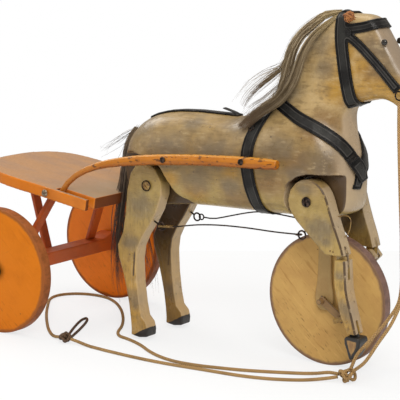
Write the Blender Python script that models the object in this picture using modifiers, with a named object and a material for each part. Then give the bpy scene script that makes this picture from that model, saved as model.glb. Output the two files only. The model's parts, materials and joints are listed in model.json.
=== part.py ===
"""Horse and sulky toy: a walking wooden horse with a front wheel between its fore legs, and a two-wheeled sulky.

Metres, +Z up. The horse faces +X and its right side is -Y. Places are laid out with X from the rear
axle and Z from the floor, and at the end everything moves back by ORIGIN_X, so that the origin lies
on the floor under the middle of the toy.
"""

import math

import bmesh
import bpy
from mathutils import Matrix, Vector

# Driving sizes
GAP = 0.0003
ORIGIN_X = 0.28618
SIDES = {"R": -1, "L": 1}

# Sulky
REAR_WHEEL_R = 0.100
REAR_WHEEL_T = 0.018
REAR_TRACK = 0.2877
BEAM_BOX = (0.032, 0.262, 0.022)
BEAM_Z = 0.101
BEAM_END_RISE = 0.008
SEAT_T = 0.018
SEAT_HALF_WIDTH = 0.108
SEAT_FRONT_X, SEAT_BACK_X = 0.150, -0.100
SEAT_FRONT_Z = 0.222
SEAT_SLOPE = -0.155
SLOT_IN, SLOT_OUT, SLOT_BACK_X = 0.0865, 0.1005, 0.0830
TENON_R, TENON_BACK_X = 0.0048, 0.0580
SEAT_BOLT_X, SEAT_EDGE_AT_BOLT = 0.068, 0.1110
SHAFT_SCREWS = ((0.2783, 0.2930), (0.4189, 0.3020))
SHAFT_SCREW_Y = 0.0838
SCREW_R = 0.0018
SHAFT_R = 0.0085
SHAFT_Y = 0.0742

# Running gear of the horse
FRONT_AXLE = (0.5196, 0.0984)
FRONT_WHEEL_R = 0.0984
FRONT_WHEEL_T = 0.0172
AXLE_R = 0.004
FORK_IN, FORK_T, FORK_WIDTH = 0.0096, 0.0042, 0.0235
FORK_END_R = 0.0150
FORK_TOP_Z = 0.252
CRANK_PIN = (0.5510, 0.0770)
CRANK_IN, CRANK_T, CRANK_WIDTH = 0.0165, 0.003, 0.0115
CRANK_PIN_R, CRANK_PIN_OUT = 0.003, 0.0293
AXLE_END = 0.0290

# Legs
LEG_IN, LEG_T = 0.0330, 0.025
SHOULDER = (0.515, 0.250)
KNEE = (0.571, 0.164)
FETLOCK = (0.5895, 0.0715)
HIP = (0.229, 0.246)
PIVOT_BOLT_R = 0.003
PIVOT_HEAD_R = 0.0075
TONGUE_T = 0.003
SHOULDER_DISC_R = 0.032
FAR_SHOULDER_TURN, FAR_KNEE_TURN = math.radians(-2.6), math.radians(-46.5)

# Rods and screw eyes
EYE_RING_R, EYE_WIRE_R = 0.0062, 0.0015
ROD_R = 0.00127
ROD_LOOP_R, ROD_LOOP_SHIFT = 0.0044, 0.0008
ROD_REAR_OUT = EYE_WIRE_R + ROD_R + 0.0006
ROD_BENDS = {  # how high each rod is bent above its chord, as (share of the chord, rise)
    "R": ((0.10, 0.0020), (0.26, 0.0062), (0.43, 0.0074), (0.63, 0.0056), (0.85, 0.0016)),
    "L": ((0.08, -0.0015), (0.21, 0.0037), (0.31, 0.0083), (0.41, 0.0120), (0.49, 0.0130), (0.60, 0.0108),
          (0.82, 0.0042)),
}
FRONT_EYE = (0.5015, 0.1990)
REAR_EYE = (0.2475, 0.1835)
ROD_Y = 0.0475

# Body
BLOCK_HALF_WIDTH = 0.0315
STRAP_T = 0.0025
BACK_STRAP_WIDTH, GIRTH_WIDTH, COLLAR_WIDTH = 0.015, 0.0208, 0.0183
BODY_VOXEL = 0.007
BODY_KEEP = 0.115

# Cord
CORD_R = 0.0025
EYE_CORD_R = 0.0022
FLOOR_CORD_Z = CORD_R + GAP

COLOURS = {
    "wood_cream": ((0.52, 0.44, 0.29), 0.6, 0.0),
    "wood_orange": ((0.75, 0.28, 0.05), 0.45, 0.0),
    "wood_red": ((0.42, 0.11, 0.04), 0.5, 0.0),
    "wood_ochre": ((0.62, 0.40, 0.14), 0.55, 0.0),
    "seat_wood": ((0.50, 0.27, 0.15), 0.55, 0.0),
    "leather": ((0.03, 0.03, 0.035), 0.5, 0.0),
    "iron": ((0.06, 0.055, 0.05), 0.45, 0.9),
    "crank": ((0.33, 0.20, 0.09), 0.5, 0.3),
    "steel": ((0.35, 0.33, 0.28), 0.4, 0.9),
    "brass": ((0.60, 0.42, 0.16), 0.35, 0.9),
    "hair": ((0.22, 0.17, 0.11), 0.6, 0.0),
    "tail_hair": ((0.10, 0.08, 0.07), 0.6, 0.0),
    "cord": ((0.42, 0.28, 0.12), 0.8, 0.0),
    "bead": ((0.01, 0.01, 0.01), 0.15, 0.0),
    "raffia": ((0.55, 0.25, 0.10), 0.8, 0.0),
}


def clear_scene():
    """Remove every object of the start scene and make the part's collection."""
    for old in list(bpy.data.objects):
        bpy.data.objects.remove(old, do_unlink=True)
    home = bpy.data.collections.new("horse_and_sulky_toy")
    bpy.context.scene.collection.children.link(home)
    return home


HOME = clear_scene()


def material(slot):
    """The Principled material of a slot, made once."""
    made = bpy.data.materials.get(slot)
    if made:
        return made
    colour, roughness, metallic = COLOURS[slot]
    made = bpy.data.materials.new(slot)
    made.use_nodes = True
    shader = made.node_tree.nodes["Principled BSDF"]
    shader.inputs["Base Color"].default_value = (*colour, 1.0)
    shader.inputs["Roughness"].default_value = roughness
    shader.inputs["Metallic"].default_value = metallic
    return made


def link(name, mesh_or_curve):
    made = bpy.data.objects.new(name, mesh_or_curve)
    HOME.objects.link(made)
    return made


def baked(obj):
    """Replace an object by the mesh that its modifiers or curve make, placed in the world."""
    bpy.context.view_layer.update()
    graph = bpy.context.evaluated_depsgraph_get()
    mesh = bpy.data.meshes.new_from_object(obj.evaluated_get(graph))
    mesh.transform(obj.matrix_world)
    name = obj.name
    bpy.data.objects.remove(obj, do_unlink=True)
    body = bmesh.new()
    body.from_mesh(mesh)
    bmesh.ops.remove_doubles(body, verts=body.verts, dist=0.00002)
    bmesh.ops.recalc_face_normals(body, faces=body.faces)
    body.to_mesh(mesh)
    body.free()
    mesh.materials.clear()
    mesh.name = name
    return link(name, mesh)


def boolean(target, other, operation="DIFFERENCE"):
    """Target after an exact Boolean with other, which is used up."""
    step = target.modifiers.new("join", "BOOLEAN")
    step.operation = operation
    step.solver = "EXACT"
    step.object = other
    made = baked(target)
    bpy.data.objects.remove(other, do_unlink=True)
    return made


def copy_of(obj, name):
    return link(name, obj.data.copy())


def dress(obj, slot, smooth_angle=35.0):
    """Give a finished mesh its material and smooth shading."""
    obj.data.materials.clear()
    obj.data.materials.append(material(slot))
    obj.data.shade_smooth()
    obj.data.set_sharp_from_angle(angle=math.radians(smooth_angle))
    return obj


def outline_curve(name, points, half_thickness, resolution=3):
    """A filled flat outline in the XZ plane. A point with a third item is a sharp corner."""
    curve = bpy.data.curves.new(name, "CURVE")
    curve.dimensions = "2D"
    curve.fill_mode = "BOTH"
    curve.extrude = half_thickness
    curve.resolution_u = resolution
    spline = curve.splines.new("BEZIER")
    spline.bezier_points.add(len(points) - 1)
    spline.use_cyclic_u = True
    for knot, point in zip(spline.bezier_points, points):
        knot.co = (point[0], point[1], 0.0)
        kind = "VECTOR" if len(point) > 2 else "AUTO"
        knot.handle_left_type = knot.handle_right_type = kind
    made = link(name, curve)
    made.rotation_euler = (math.pi / 2, 0.0, 0.0)
    return made


def board(name, points, y, thickness, bevel=0.0015, resolution=3):
    """A flat board cut to an outline in the XZ plane, with eased edges."""
    made = outline_curve(name, points, thickness / 2, resolution)
    made.location.y = y
    made = baked(made)
    if bevel:
        ease = made.modifiers.new("ease", "BEVEL")
        ease.width = bevel
        ease.segments = 1
        ease.limit_method = "ANGLE"
        ease.angle_limit = math.radians(50)
        made = baked(made)
    return made


def box(name, low, high, bevel=0.0):
    """A box between two corners."""
    size = [h - l for l, h in zip(low, high)]
    centre = [(l + h) / 2 for l, h in zip(low, high)]
    body = bmesh.new()
    bmesh.ops.create_cube(body, size=1.0)
    bmesh.ops.scale(body, vec=size, verts=body.verts)
    bmesh.ops.translate(body, vec=centre, verts=body.verts)
    mesh = bpy.data.meshes.new(name)
    body.to_mesh(mesh)
    body.free()
    made = link(name, mesh)
    if bevel:
        ease = made.modifiers.new("ease", "BEVEL")
        ease.width = bevel
        ease.segments = 1
        made = baked(made)
    return made


def rod_between(name, start, end, radius, sides=16):
    """A round bar between two points."""
    start, end = Vector(start), Vector(end)
    body = bmesh.new()
    bmesh.ops.create_cone(body, cap_ends=True, segments=sides, radius1=radius, radius2=radius,
                          depth=(end - start).length)
    turn = (end - start).to_track_quat("Z", "Y").to_matrix().to_4x4()
    bmesh.ops.transform(body, matrix=Matrix.Translation((start + end) / 2) @ turn, verts=body.verts)
    mesh = bpy.data.meshes.new(name)
    body.to_mesh(mesh)
    body.free()
    return link(name, mesh)


def turned(name, profile, centre, direction, steps=24):
    """A turned piece: profile (radius, height) runs from its top down its outer side, turned on direction."""
    mesh = bpy.data.meshes.new(name)
    body = bmesh.new()
    rail = [body.verts.new((r, 0.0, h)) for r, h in profile]
    for a, b in zip(rail, rail[1:]):
        body.edges.new((a, b))
    body.to_mesh(mesh)
    body.free()
    made = link(name, mesh)
    spin = made.modifiers.new("spin", "SCREW")
    spin.axis = "Z"
    spin.steps = spin.render_steps = steps
    spin.use_merge_vertices = True
    spin.merge_threshold = 0.00005
    spin.use_normal_calculate = True
    made.matrix_world = Matrix.Translation(centre) @ Vector(direction).to_track_quat("Z",
                                                                                     "Y").to_matrix().to_4x4()
    return baked(made)


def smooth_path(knots, count):
    """Points at even steps along a smooth curve through the knots (centripetal Catmull-Rom)."""
    knots = [Vector(k) for k in knots]
    ends = [2 * knots[0] - knots[1], *knots, 2 * knots[-1] - knots[-2]]
    fine = []
    for a, b, c, d in zip(ends, ends[1:], ends[2:], ends[3:]):
        t = [0.0]
        for p, q in ((a, b), (b, c), (c, d)):
            t.append(t[-1] + max((q - p).length, 1e-9) ** 0.5)
        for step in range(12):
            u = t[1] + (t[2] - t[1]) * step / 12
            a1 = (t[1] - u) / (t[1] - t[0]) * a + (u - t[0]) / (t[1] - t[0]) * b
            a2 = (t[2] - u) / (t[2] - t[1]) * b + (u - t[1]) / (t[2] - t[1]) * c
            a3 = (t[3] - u) / (t[3] - t[2]) * c + (u - t[2]) / (t[3] - t[2]) * d
            b1 = (t[2] - u) / (t[2] - t[0]) * a1 + (u - t[0]) / (t[2] - t[0]) * a2
            b2 = (t[3] - u) / (t[3] - t[1]) * a2 + (u - t[1]) / (t[3] - t[1]) * a3
            fine.append((t[2] - u) / (t[2] - t[1]) * b1 + (u - t[1]) / (t[2] - t[1]) * b2)
    fine.append(knots[-1])
    lengths = [0.0]
    for p, q in zip(fine, fine[1:]):
        lengths.append(lengths[-1] + (q - p).length)
    path, place = [], 0
    for index in range(count):
        want = lengths[-1] * index / (count - 1)
        while place < len(fine) - 2 and lengths[place + 1] < want:
            place += 1
        span = lengths[place + 1] - lengths[place]
        share = (want - lengths[place]) / span if span else 0.0
        path.append(fine[place].lerp(fine[place + 1], share))
    return path


def tube(name, path, radius, sides=2, radii=None):
    """A round tube along points, as a poly curve with filled caps. radii scale the radius point by point."""
    curve = bpy.data.curves.new(name, "CURVE")
    curve.dimensions = "3D"
    curve.bevel_depth = radius
    curve.bevel_resolution = sides
    curve.use_fill_caps = True
    spline = curve.splines.new("POLY")
    spline.points.add(len(path) - 1)
    for index, point in enumerate(path):
        spline.points[index].co = (*point, 1.0)
        spline.points[index].radius = radii[index] if radii else 1.0
    return baked(link(name, curve))


def ring(name, centre, normal, major, minor, steps=14, sides=6):
    """A wire ring."""
    bpy.ops.mesh.primitive_torus_add(major_radius=major, minor_radius=minor,
                                     major_segments=steps, minor_segments=sides)
    made = bpy.context.object
    made.name = name
    for owner in list(made.users_collection):
        owner.objects.unlink(made)
    HOME.objects.link(made)
    made.matrix_world = Matrix.Translation(centre) @ Vector(normal).to_track_quat("Z",
                                                                                  "Y").to_matrix().to_4x4()
    return baked(made)


def turn_about(points, pivot, angle):
    """Outline points turned in the XZ plane about a pivot, forward foot positive."""
    cos, sin = math.cos(angle), math.sin(angle)
    made = []
    for point in points:
        x, z = point[0] - pivot[0], point[1] - pivot[1]
        made.append((pivot[0] + x * cos - z * sin, pivot[1] + x * sin + z * cos, *point[2:]))
    return made


# Horse body

TORSO = (
    # x, bottom, top, half width
    (0.1540, 0.2600, 0.2780, 0.0100),
    (0.1565, 0.2500, 0.2930, 0.0170),
    (0.1640, 0.2380, 0.3100, 0.0270),
    (0.1760, 0.2280, 0.3270, 0.0395),
    (0.1920, 0.2190, 0.3405, 0.0500),
    (0.2100, 0.2135, 0.3495, 0.0575),
    (0.2320, 0.2125, 0.3550, 0.0612),
    (0.2600, 0.2150, 0.3582, 0.0625),
    (0.2900, 0.2185, 0.3594, 0.0625),
    (0.3300, 0.2200, 0.3582, 0.0625),
    (0.3700, 0.2205, 0.3572, 0.0625),
    (0.4200, 0.2210, 0.3720, 0.0625),
    (0.4600, 0.2215, 0.3840, 0.0625),
    (0.4950, 0.2225, 0.3850, 0.0620),
    (0.5180, 0.2240, 0.3740, 0.0590),
    (0.5350, 0.2250, 0.3600, 0.0545),
    (0.5490, 0.2270, 0.3460, 0.0475),
    (0.5590, 0.2290, 0.3340, 0.0390),
    (0.5660, 0.2330, 0.3220, 0.0270),
    (0.5700, 0.2450, 0.3080, 0.0150),
)

PROFILE = (
    (0.4300, 0.3600), (0.4410, 0.3905), (0.4545, 0.4105), (0.4665, 0.4370), (0.4760, 0.4610),
    (0.4866, 0.4790), (0.5001, 0.4935), (0.5225, 0.5082), (0.5400, 0.5160), (0.5614, 0.5160),
    (0.5880, 0.5145), (0.5975, 0.5095), (0.6045, 0.4985), (0.6245, 0.4680), (0.6408, 0.4410),
    (0.6565, 0.4170), (0.6675, 0.4010), (0.6700, 0.3870), (0.6635, 0.3745), (0.6515, 0.3715),
    (0.6385, 0.3835), (0.6235, 0.3940), (0.6100, 0.3985), (0.5898, 0.3945), (0.5690, 0.3895),
    (0.5570, 0.3820), (0.5545, 0.3700), (0.5555, 0.3560), (0.5575, 0.3400), (0.5600, 0.3200),
    (0.5600, 0.2900), (0.5400, 0.2700), (0.4800, 0.2700),
)
QUARTER = math.radians(35.6)
HEAD_HALF_WIDTH = 0.0220
BOARD_EDGE = 0.010


def smooth_step(low, high, value):
    t = min(max((value - low) / (high - low), 0.0), 1.0)
    return t * t * (3 - 2 * t)


def neck_spread(x, z):
    """How much wider than the head the neck board is at a place: it flares into the shoulders."""
    down = 1.0 - smooth_step(0.335, 0.425, z)
    muzzle = smooth_step(0.615, 0.660, x)
    behind = 1.0 - smooth_step(0.480, 0.565, x)
    return 1.0 + 1.15 * down * behind - 0.22 * muzzle


def torso_loft():
    """The barrel, rump and shoulders as rings along X."""
    body = bmesh.new()
    rings = []
    count = 24
    for x, low, high, half in TORSO:
        middle, rise = (low + high) / 2, (high - low) / 2
        loop = []
        for step in range(count):
            angle = 2 * math.pi * step / count
            cos, sin = math.cos(angle), math.sin(angle)
            power = 2 / 2.3 if sin > 0 else 2 / 4.0
            y = half * math.copysign(abs(cos) ** power, cos)
            z = middle + rise * math.copysign(abs(sin) ** power, sin)
            loop.append(body.verts.new((x, y, z)))
        rings.append(loop)
    for near, far in zip(rings, rings[1:]):
        for i in range(count):
            j = (i + 1) % count
            body.faces.new((near[i], near[j], far[j], far[i]))
    body.faces.new(rings[0])
    body.faces.new(rings[-1])
    bmesh.ops.recalc_face_normals(body, faces=body.faces)
    mesh = bpy.data.meshes.new("torso_loft")
    body.to_mesh(mesh)
    body.free()
    return link("torso_loft", mesh)


def neck_board():
    """Neck and head: a board with rounded edges, sliced across and spread towards the shoulders."""
    flat = outline_curve("neck_board", PROFILE, HEAD_HALF_WIDTH - BOARD_EDGE, 3)
    flat.data.bevel_depth = BOARD_EDGE
    flat.data.bevel_resolution = 2
    flat.data.offset = -BOARD_EDGE
    flat = baked(flat)
    body = bmesh.new()
    body.from_mesh(flat.data)
    for place, normal in [((0, 0, 0.28 + 0.015 * i), (0, 0, 1)) for i in range(16)] + [
            ((0.45 + 0.018 * i, 0, 0), (1, 0, 0)) for i in range(12)]:
        geometry = body.verts[:] + body.edges[:] + body.faces[:]
        bmesh.ops.bisect_plane(body, geom=geometry, plane_co=place, plane_no=normal)
    for vert in body.verts:
        vert.co.y *= neck_spread(vert.co.x, vert.co.z)
    body.to_mesh(flat.data)
    body.free()
    return flat


def horse_whole():
    """Barrel and neck grown together, smoothed and thinned."""
    whole = boolean(torso_loft(), neck_board(), "UNION")
    skin = whole.modifiers.new("skin", "REMESH")
    skin.mode = "VOXEL"
    skin.voxel_size = BODY_VOXEL
    calm = whole.modifiers.new("calm", "SMOOTH")
    calm.factor = 0.5
    calm.iterations = 3
    thin = whole.modifiers.new("thin", "DECIMATE")
    thin.ratio = BODY_KEEP
    whole.modifiers.new("flat", "TRIANGULATE")
    whole.name = "horse_whole"
    return baked(whole)


def grown(obj, name, distance):
    """A copy of a mesh with every vertex moved out along its normal."""
    made = copy_of(obj, name)
    normals = [v.normal.copy() for v in made.data.vertices]
    for vert, normal in zip(made.data.vertices, normals):
        vert.co += normal * distance
    made.data.update()
    return made


WITHERS = (0.4330, 0.4037)
CHEST = (0.5800, 0.3317)


def half_space(name, above):
    """A big block above or below the neck joint, GAP / 2 from it."""
    along = Vector((CHEST[0] - WITHERS[0], 0, CHEST[1] - WITHERS[1])).normalized()
    normal = Vector((-along.z, 0, along.x)) * (1 if above else -1)
    a = Vector((WITHERS[0], 0, WITHERS[1])) - along * 0.3 + normal * GAP / 2
    b = Vector((CHEST[0], 0, CHEST[1])) + along * 0.3 + normal * GAP / 2
    corners = [a, b, b + normal * 0.6, a + normal * 0.6]
    return board(name, [(c.x, c.z, "corner") for c in corners], 0.0, 0.4, bevel=0.0)


def screw_holes(torso):
    for sign in SIDES.values():
        for x, z in SHAFT_SCREWS:
            hole = rod_between("hole", (x, sign * 0.045, z), (x, sign * 0.09, z), SCREW_R + GAP, 10)
            torso = boolean(torso, hole)
    return torso


def leg_pockets(torso):
    """Cut the torso's sides away round the hips and the shoulders, down to the centre block."""
    hip = [(0.10, 0.15, 1), (0.10, 0.288, 1), (0.238, 0.288), (0.2560, 0.2755), (0.2630, 0.2655),
           (0.2725, 0.2535), (0.2785, 0.2445), (0.2840, 0.2385), (0.2930, 0.2335), (0.3040, 0.2285),
           (0.3180, 0.15, 1)]
    shoulder = [(0.4790, 0.15, 1), (0.4790, 0.2307, 1), (0.4768, 0.2450), (0.4800, 0.2620), (0.4925, 0.2800),
                (0.5150, 0.2885), (0.5300, 0.2885, 1), (0.65, 0.2885, 1), (0.65, 0.15, 1)]
    depth = 0.1
    for side in SIDES.values():
        for outline in (hip, shoulder):
            cutter = board("pocket", outline, side * (BLOCK_HALF_WIDTH + depth / 2), depth, bevel=0.0)
            torso = boolean(torso, cutter)
    return torso


def fork_mortises(torso):
    for side in SIDES.values():
        y = side * (FORK_IN + FORK_T / 2)
        half = FORK_T / 2 + GAP
        x = FRONT_AXLE[0]
        reach = FORK_WIDTH / 2 + GAP
        hole = box("mortise", (x - reach, y - half, 0.18), (x + reach, y + half, FORK_TOP_Z + GAP))
        torso = boolean(torso, hole)
    return torso


def pivot_hole(torso, place, side):
    """The blind hole of a pivot bolt in the centre block."""
    start = (place[0], side * 0.012, place[1])
    end = (place[0], side * 0.05, place[1])
    return boolean(torso, rod_between("bolt_hole", start, end, PIVOT_BOLT_R + GAP))


def build_horse():
    """Torso, neck and head piece, and the straps that are cut from a skin just off the wood."""
    whole = horse_whole()
    build_straps(whole)
    neck = boolean(copy_of(whole, "neck_head"), half_space("above", True), "INTERSECT")
    dress(neck, "wood_cream")
    torso = boolean(copy_of(whole, "torso"), half_space("below", False), "INTERSECT")
    torso = leg_pockets(torso)
    torso = fork_mortises(torso)
    torso = screw_holes(torso)
    for side in SIDES.values():
        torso = pivot_hole(torso, HIP, side)
        torso = pivot_hole(torso, SHOULDER, side)
    torso.name = "torso"
    dress(torso, "wood_cream")
    bpy.data.objects.remove(whole, do_unlink=True)


def skin(whole, slab, inner_lift, outer_lift):
    """The part of a skin off the wood, between two heights, that lies inside a slab."""
    inner = grown(whole, "inner", inner_lift)
    made = boolean(grown(whole, "outer", outer_lift), slab, "INTERSECT")
    return boolean(made, inner)


def strap(whole, name, slab):
    """A strap of one thickness lying on the wood."""
    made = skin(whole, slab, GAP, GAP + STRAP_T)
    made.name = name
    return dress(made, "leather")


def band(centre_line, width):
    """The outline of a band along a flat centre line, of one width or of a width for each point."""
    widths = width if isinstance(width, list) else [width] * len(centre_line)
    upper, lower = [], []
    for index, point in enumerate(centre_line):
        before = Vector(centre_line[max(index - 1, 0)])
        after = Vector(centre_line[min(index + 1, len(centre_line) - 1)])
        along = (after - before).normalized()
        across = Vector((-along.y, along.x)) * widths[index] / 2
        upper.append((point[0] + across.x, point[1] + across.y))
        lower.append((point[0] - across.x, point[1] - across.y))
    return [(*upper[0], 1), *upper[1:-1], (*upper[-1], 1), (*lower[-1], 1), *reversed(lower[1:-1]),
            (*lower[0], 1)]


def side_slab(line, width):
    """A slab right through the body along a line in the side view."""
    return board("slab", band(line, width), 0.0, 0.3, bevel=0.0)


def quarter_slab(line, width, sign, depth):
    """A slab seen along the front quarter: line holds points in space, depth is (outer, inner) along the view."""
    cos, sin = math.cos(QUARTER), math.sin(QUARTER)
    flat = [(x * cos - y * sin, z) for x, y, z in line]
    outer, inner = depth
    made = board("slab", band(flat, width), (outer + inner) / 2, inner - outer, bevel=0.0)
    made.data.transform(Matrix.Rotation(QUARTER, 4, "Z"))
    if sign > 0:
        made.data.transform(Matrix.Scale(-1, 4, (0, 1, 0)))
        made.data.flip_normals()
    return made


def build_collar(whole, side, sign):
    """One breast strap: from the withers round the shoulder and across the chest to its loose tip.
    The right one steps over the left one where they cross."""
    line = [(0.4470, 0.0300, 0.3868), (0.4665, 0.0356, 0.3776), (0.4871, 0.0413, 0.3680),
            (0.5145, 0.0425, 0.3570), (0.5397, 0.0344, 0.3423), (0.5555, 0.0268, 0.3285),
            (0.5645, 0.0195, 0.3145), (0.5700, 0.0030, 0.2955)]
    tip, tail = [line[-1], (0.5698, -0.0030, 0.2865), (0.5690, -0.0110, 0.2780)], (0.0145, 0.0120)
    if sign > 0:
        tip, tail = [line[-1], (0.5692, -0.0085, 0.2800), (0.5680, -0.0165, 0.2675)], (0.0100, 0.0070)
    tail = [COLLAR_WIDTH, *tail]
    depth = (-0.45, -0.2880)
    low, high = GAP, GAP + STRAP_T
    if sign > 0:
        widths = [COLLAR_WIDTH] * (len(line) - 1) + tail
        made = skin(whole, quarter_slab(line + tip[1:], widths, 1, depth), low, high)
    else:
        start, end = Vector(line[6]), Vector(line[7])
        share = {t: tuple(start.lerp(end, t)) for t in (0.0, 0.1, 0.2, 0.4)}
        lower = skin(whole, quarter_slab([*line[:7], share[0.1]], COLLAR_WIDTH, -1, depth), low, high)
        step = skin(whole, quarter_slab([share[0.0], share[0.4]], COLLAR_WIDTH - 0.001, -1, depth), low,
                    high + STRAP_T)
        upper = skin(whole, quarter_slab([share[0.2], *tip], [COLLAR_WIDTH, *tail], -1, depth), high + GAP,
                     high + GAP + STRAP_T)
        made = boolean(boolean(lower, step, "UNION"), upper, "UNION")
    far_side = [-sign * y for y in (0.036, 0.100)]
    made = boolean(made, box("trim", (0.40, min(far_side), 0.20), (0.70, max(far_side), 0.45)))
    made.name = "collar_" + side
    dress(made, "leather")


def build_straps(whole):
    """Back strap, girth, breast collar and bridle."""
    back = box("slab", (0.198, -BACK_STRAP_WIDTH / 2, 0.30), (0.362, BACK_STRAP_WIDTH / 2, 0.42))
    strap(whole, "back_strap", back)

    girth_line = ((0.4400, 0.4100), (0.4320, 0.3760), (0.4200, 0.3400), (0.4155, 0.3100), (0.4180, 0.2800),
                  (0.4260, 0.2500), (0.4360, 0.2100))
    girth = strap(whole, "girth_strap", side_slab(girth_line, GIRTH_WIDTH))
    for sign in SIDES.values():
        x, z = SHAFT_SCREWS[1]
        girth = with_holes(girth, [(x, z)], sign * 0.065, SCREW_R + GAP, 0.02)
    dress(girth, "leather")

    for side, sign in SIDES.items():
        build_collar(whole, side, sign)

    crown = side_slab(((0.5470, 0.5400), (0.5480, 0.5100), (0.5475, 0.4800), (0.5515, 0.4500), (0.5570,
                                                                                                0.4200),
                       (0.5630, 0.3980), (0.5675, 0.3860)), 0.0205)
    brow = side_slab(((0.5480, 0.4930), (0.5690, 0.4960), (0.5850, 0.4990), (0.6020, 0.5040), (0.6300,
                                                                                               0.5120)), 0.0145)
    bridle = boolean(crown, brow, "UNION")
    for sign in SIDES.values():
        cheek = band(((0.5500, 0.4900), (0.5690, 0.4785), (0.5900, 0.4610), (0.6140, 0.4380), (0.6370,
                                                                                               0.4130)), 0.0135)
        cheek = board("slab", cheek, sign * 0.087, 0.15, bevel=0.0)
        bridle = boolean(bridle, cheek, "UNION")
    strap(whole, "bridle", bridle)


def build_head_trim():
    """Bead eyes, the bit rings and the tuft at the poll."""
    for side, sign in SIDES.items():
        profile = [(0.0, 0.0042), (0.0022, 0.0038), (0.0040, 0.0022), (0.0046, 0.0), (0.0, 0.0)]
        eye = turned("eye_" + side, profile, (0.6155, sign * 0.0212, 0.4784), (0, sign, 0), steps=14)
        dress(eye, "bead")
        ring_centre = (0.6425, sign * 0.0262, 0.4065)
        dress(ring("bit_ring_" + side, ring_centre, (0, 1, 0), 0.0062, 0.0013), "brass")
    tuft = [(0.5565, -0.0318, 0.5095), (0.5650, -0.0330, 0.5130), (0.5740, -0.0320, 0.5110)]
    dress(tube("poll_tuft", smooth_path(tuft, 6), 0.0062, 2, [0.5, 0.9, 1.0, 1.0, 0.8, 0.5]), "raffia")


def build_hair():
    """Simple solids for the hair of the mane and the tail."""
    crest = [(0.5330, 0.000, 0.5235), (0.5120, 0.000, 0.5130), (0.4900, 0.000, 0.4990), (0.4740, 0.000,
                                                                                         0.4800),
             (0.4640, 0.000, 0.4600), (0.4550, 0.000, 0.4380), (0.4440, -0.002, 0.4160), (0.4330, -0.008,
                                                                                          0.4010),
             (0.4180, -0.022, 0.3870), (0.4020, -0.040, 0.3760), (0.3900, -0.056, 0.3600), (0.3850, -0.066,
                                                                                            0.3420)]
    radii = [0.45, 0.7, 0.9, 1.0, 1.0, 1.0, 1.0, 1.0, 1.0, 0.95, 0.8, 0.4]
    count = len(radii)
    dress(tube("mane", smooth_path(crest, count), 0.0085, 2, radii), "hair")
    dock = [(0.1570, -0.002, 0.3135), (0.1475, -0.006, 0.2950), (0.1425, -0.010, 0.2720), (0.1440, -0.013,
                                                                                           0.2500),
            (0.1530, -0.014, 0.2340), (0.1625, -0.014, 0.2200), (0.1650, -0.014, 0.2000), (0.1640, -0.014,
                                                                                           0.1500),
            (0.1590, -0.014, 0.1000), (0.1560, -0.014, 0.0450)]
    radii = [0.45, 0.65, 0.7, 0.7, 0.7, 0.75, 0.9, 1.0, 0.9, 0.4]
    dress(tube("tail", smooth_path(dock, len(radii)), 0.0100, 2, radii), "tail_hair")


# Legs

REAR_LEG = (
    (0.1960, 0.2620), (0.1890, 0.2350), (0.1855, 0.1980), (0.1800, 0.1680), (0.1695, 0.1470), (0.1715,
                                                                                               0.1290),
    (0.1800, 0.1030), (0.1860, 0.0800), (0.1910, 0.0560), (0.1945, 0.0300), (0.1955, 0.0150), (0.1950,
                                                                                               0.0060, 1),
    (0.2110, 0.0035), (0.2270, 0.0060, 1), (0.2280, 0.0170), (0.2250, 0.0280), (0.2160, 0.0370), (0.2115,
                                                                                                  0.0580),
    (0.2075, 0.0900), (0.2060, 0.1250), (0.2090, 0.1460), (0.2190, 0.1660), (0.2330, 0.1860), (0.2460,
                                                                                               0.2080),
    (0.2550, 0.2330), (0.2550, 0.2520), (0.2440, 0.2720), (0.2270, 0.2800), (0.2070, 0.2770),
)
UPPER_LEG = (
    (0.4830, 0.2500), (0.4920, 0.2275), (0.5060, 0.2130), (0.5270, 0.1940), (0.5460, 0.1772, 1),
    (0.5765, 0.1772, 1), (0.5715, 0.1930), (0.5620, 0.2160), (0.5530, 0.2400), (0.5440, 0.2640), (0.5310,
                                                                                                  0.2775),
    (0.5150, 0.2820), (0.4960, 0.2757),
)
LOWER_LEG = (
    (0.5615, 0.1718, 1), (0.5610, 0.1500), (0.5620, 0.1320), (0.5670, 0.1130), (0.5710, 0.0960), (0.5780,
                                                                                                  0.0800),
    (0.5850, 0.0665, 1), (0.5985, 0.0665, 1), (0.5930, 0.0870), (0.5870, 0.1080), (0.5815, 0.1300),
    (0.5800, 0.1500), (0.5785, 0.1718, 1),
)
HOOF = (
    (0.5795, 0.0590), (0.5825, 0.0628, 1), (0.6035, 0.0628, 1), (0.6055, 0.0560), (0.6005, 0.0400),
    (0.5940, 0.0300, 1), (0.5880, 0.0300, 1), (0.5835, 0.0440),
)
TONGUE = (
    (0.5600, 0.1900), (0.5590, 0.1700), (0.5625, 0.1540), (0.5700, 0.1490), (0.5770, 0.1545), (0.5785,
                                                                                               0.1700),
    (0.5740, 0.1900),
)
TENON = (
    (0.5850, 0.0480), (0.5840, 0.0700), (0.5860, 0.0765), (0.5895, 0.0785), (0.5930, 0.0765), (0.5955,
                                                                                               0.0700),
    (0.5980, 0.0480),
)
LUG = ((0.5480, 0.0757), (0.5560, 0.0780), (0.5680, 0.0850), (0.5800, 0.0940))


def with_holes(obj, places, y, radius, length):
    """Round holes along Y through a piece."""
    for place in places:
        start = (place[0], y - length, place[1])
        end = (place[0], y + length, place[1])
        obj = boolean(obj, rod_between("hole", start, end, radius, 12))
    return obj


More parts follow.
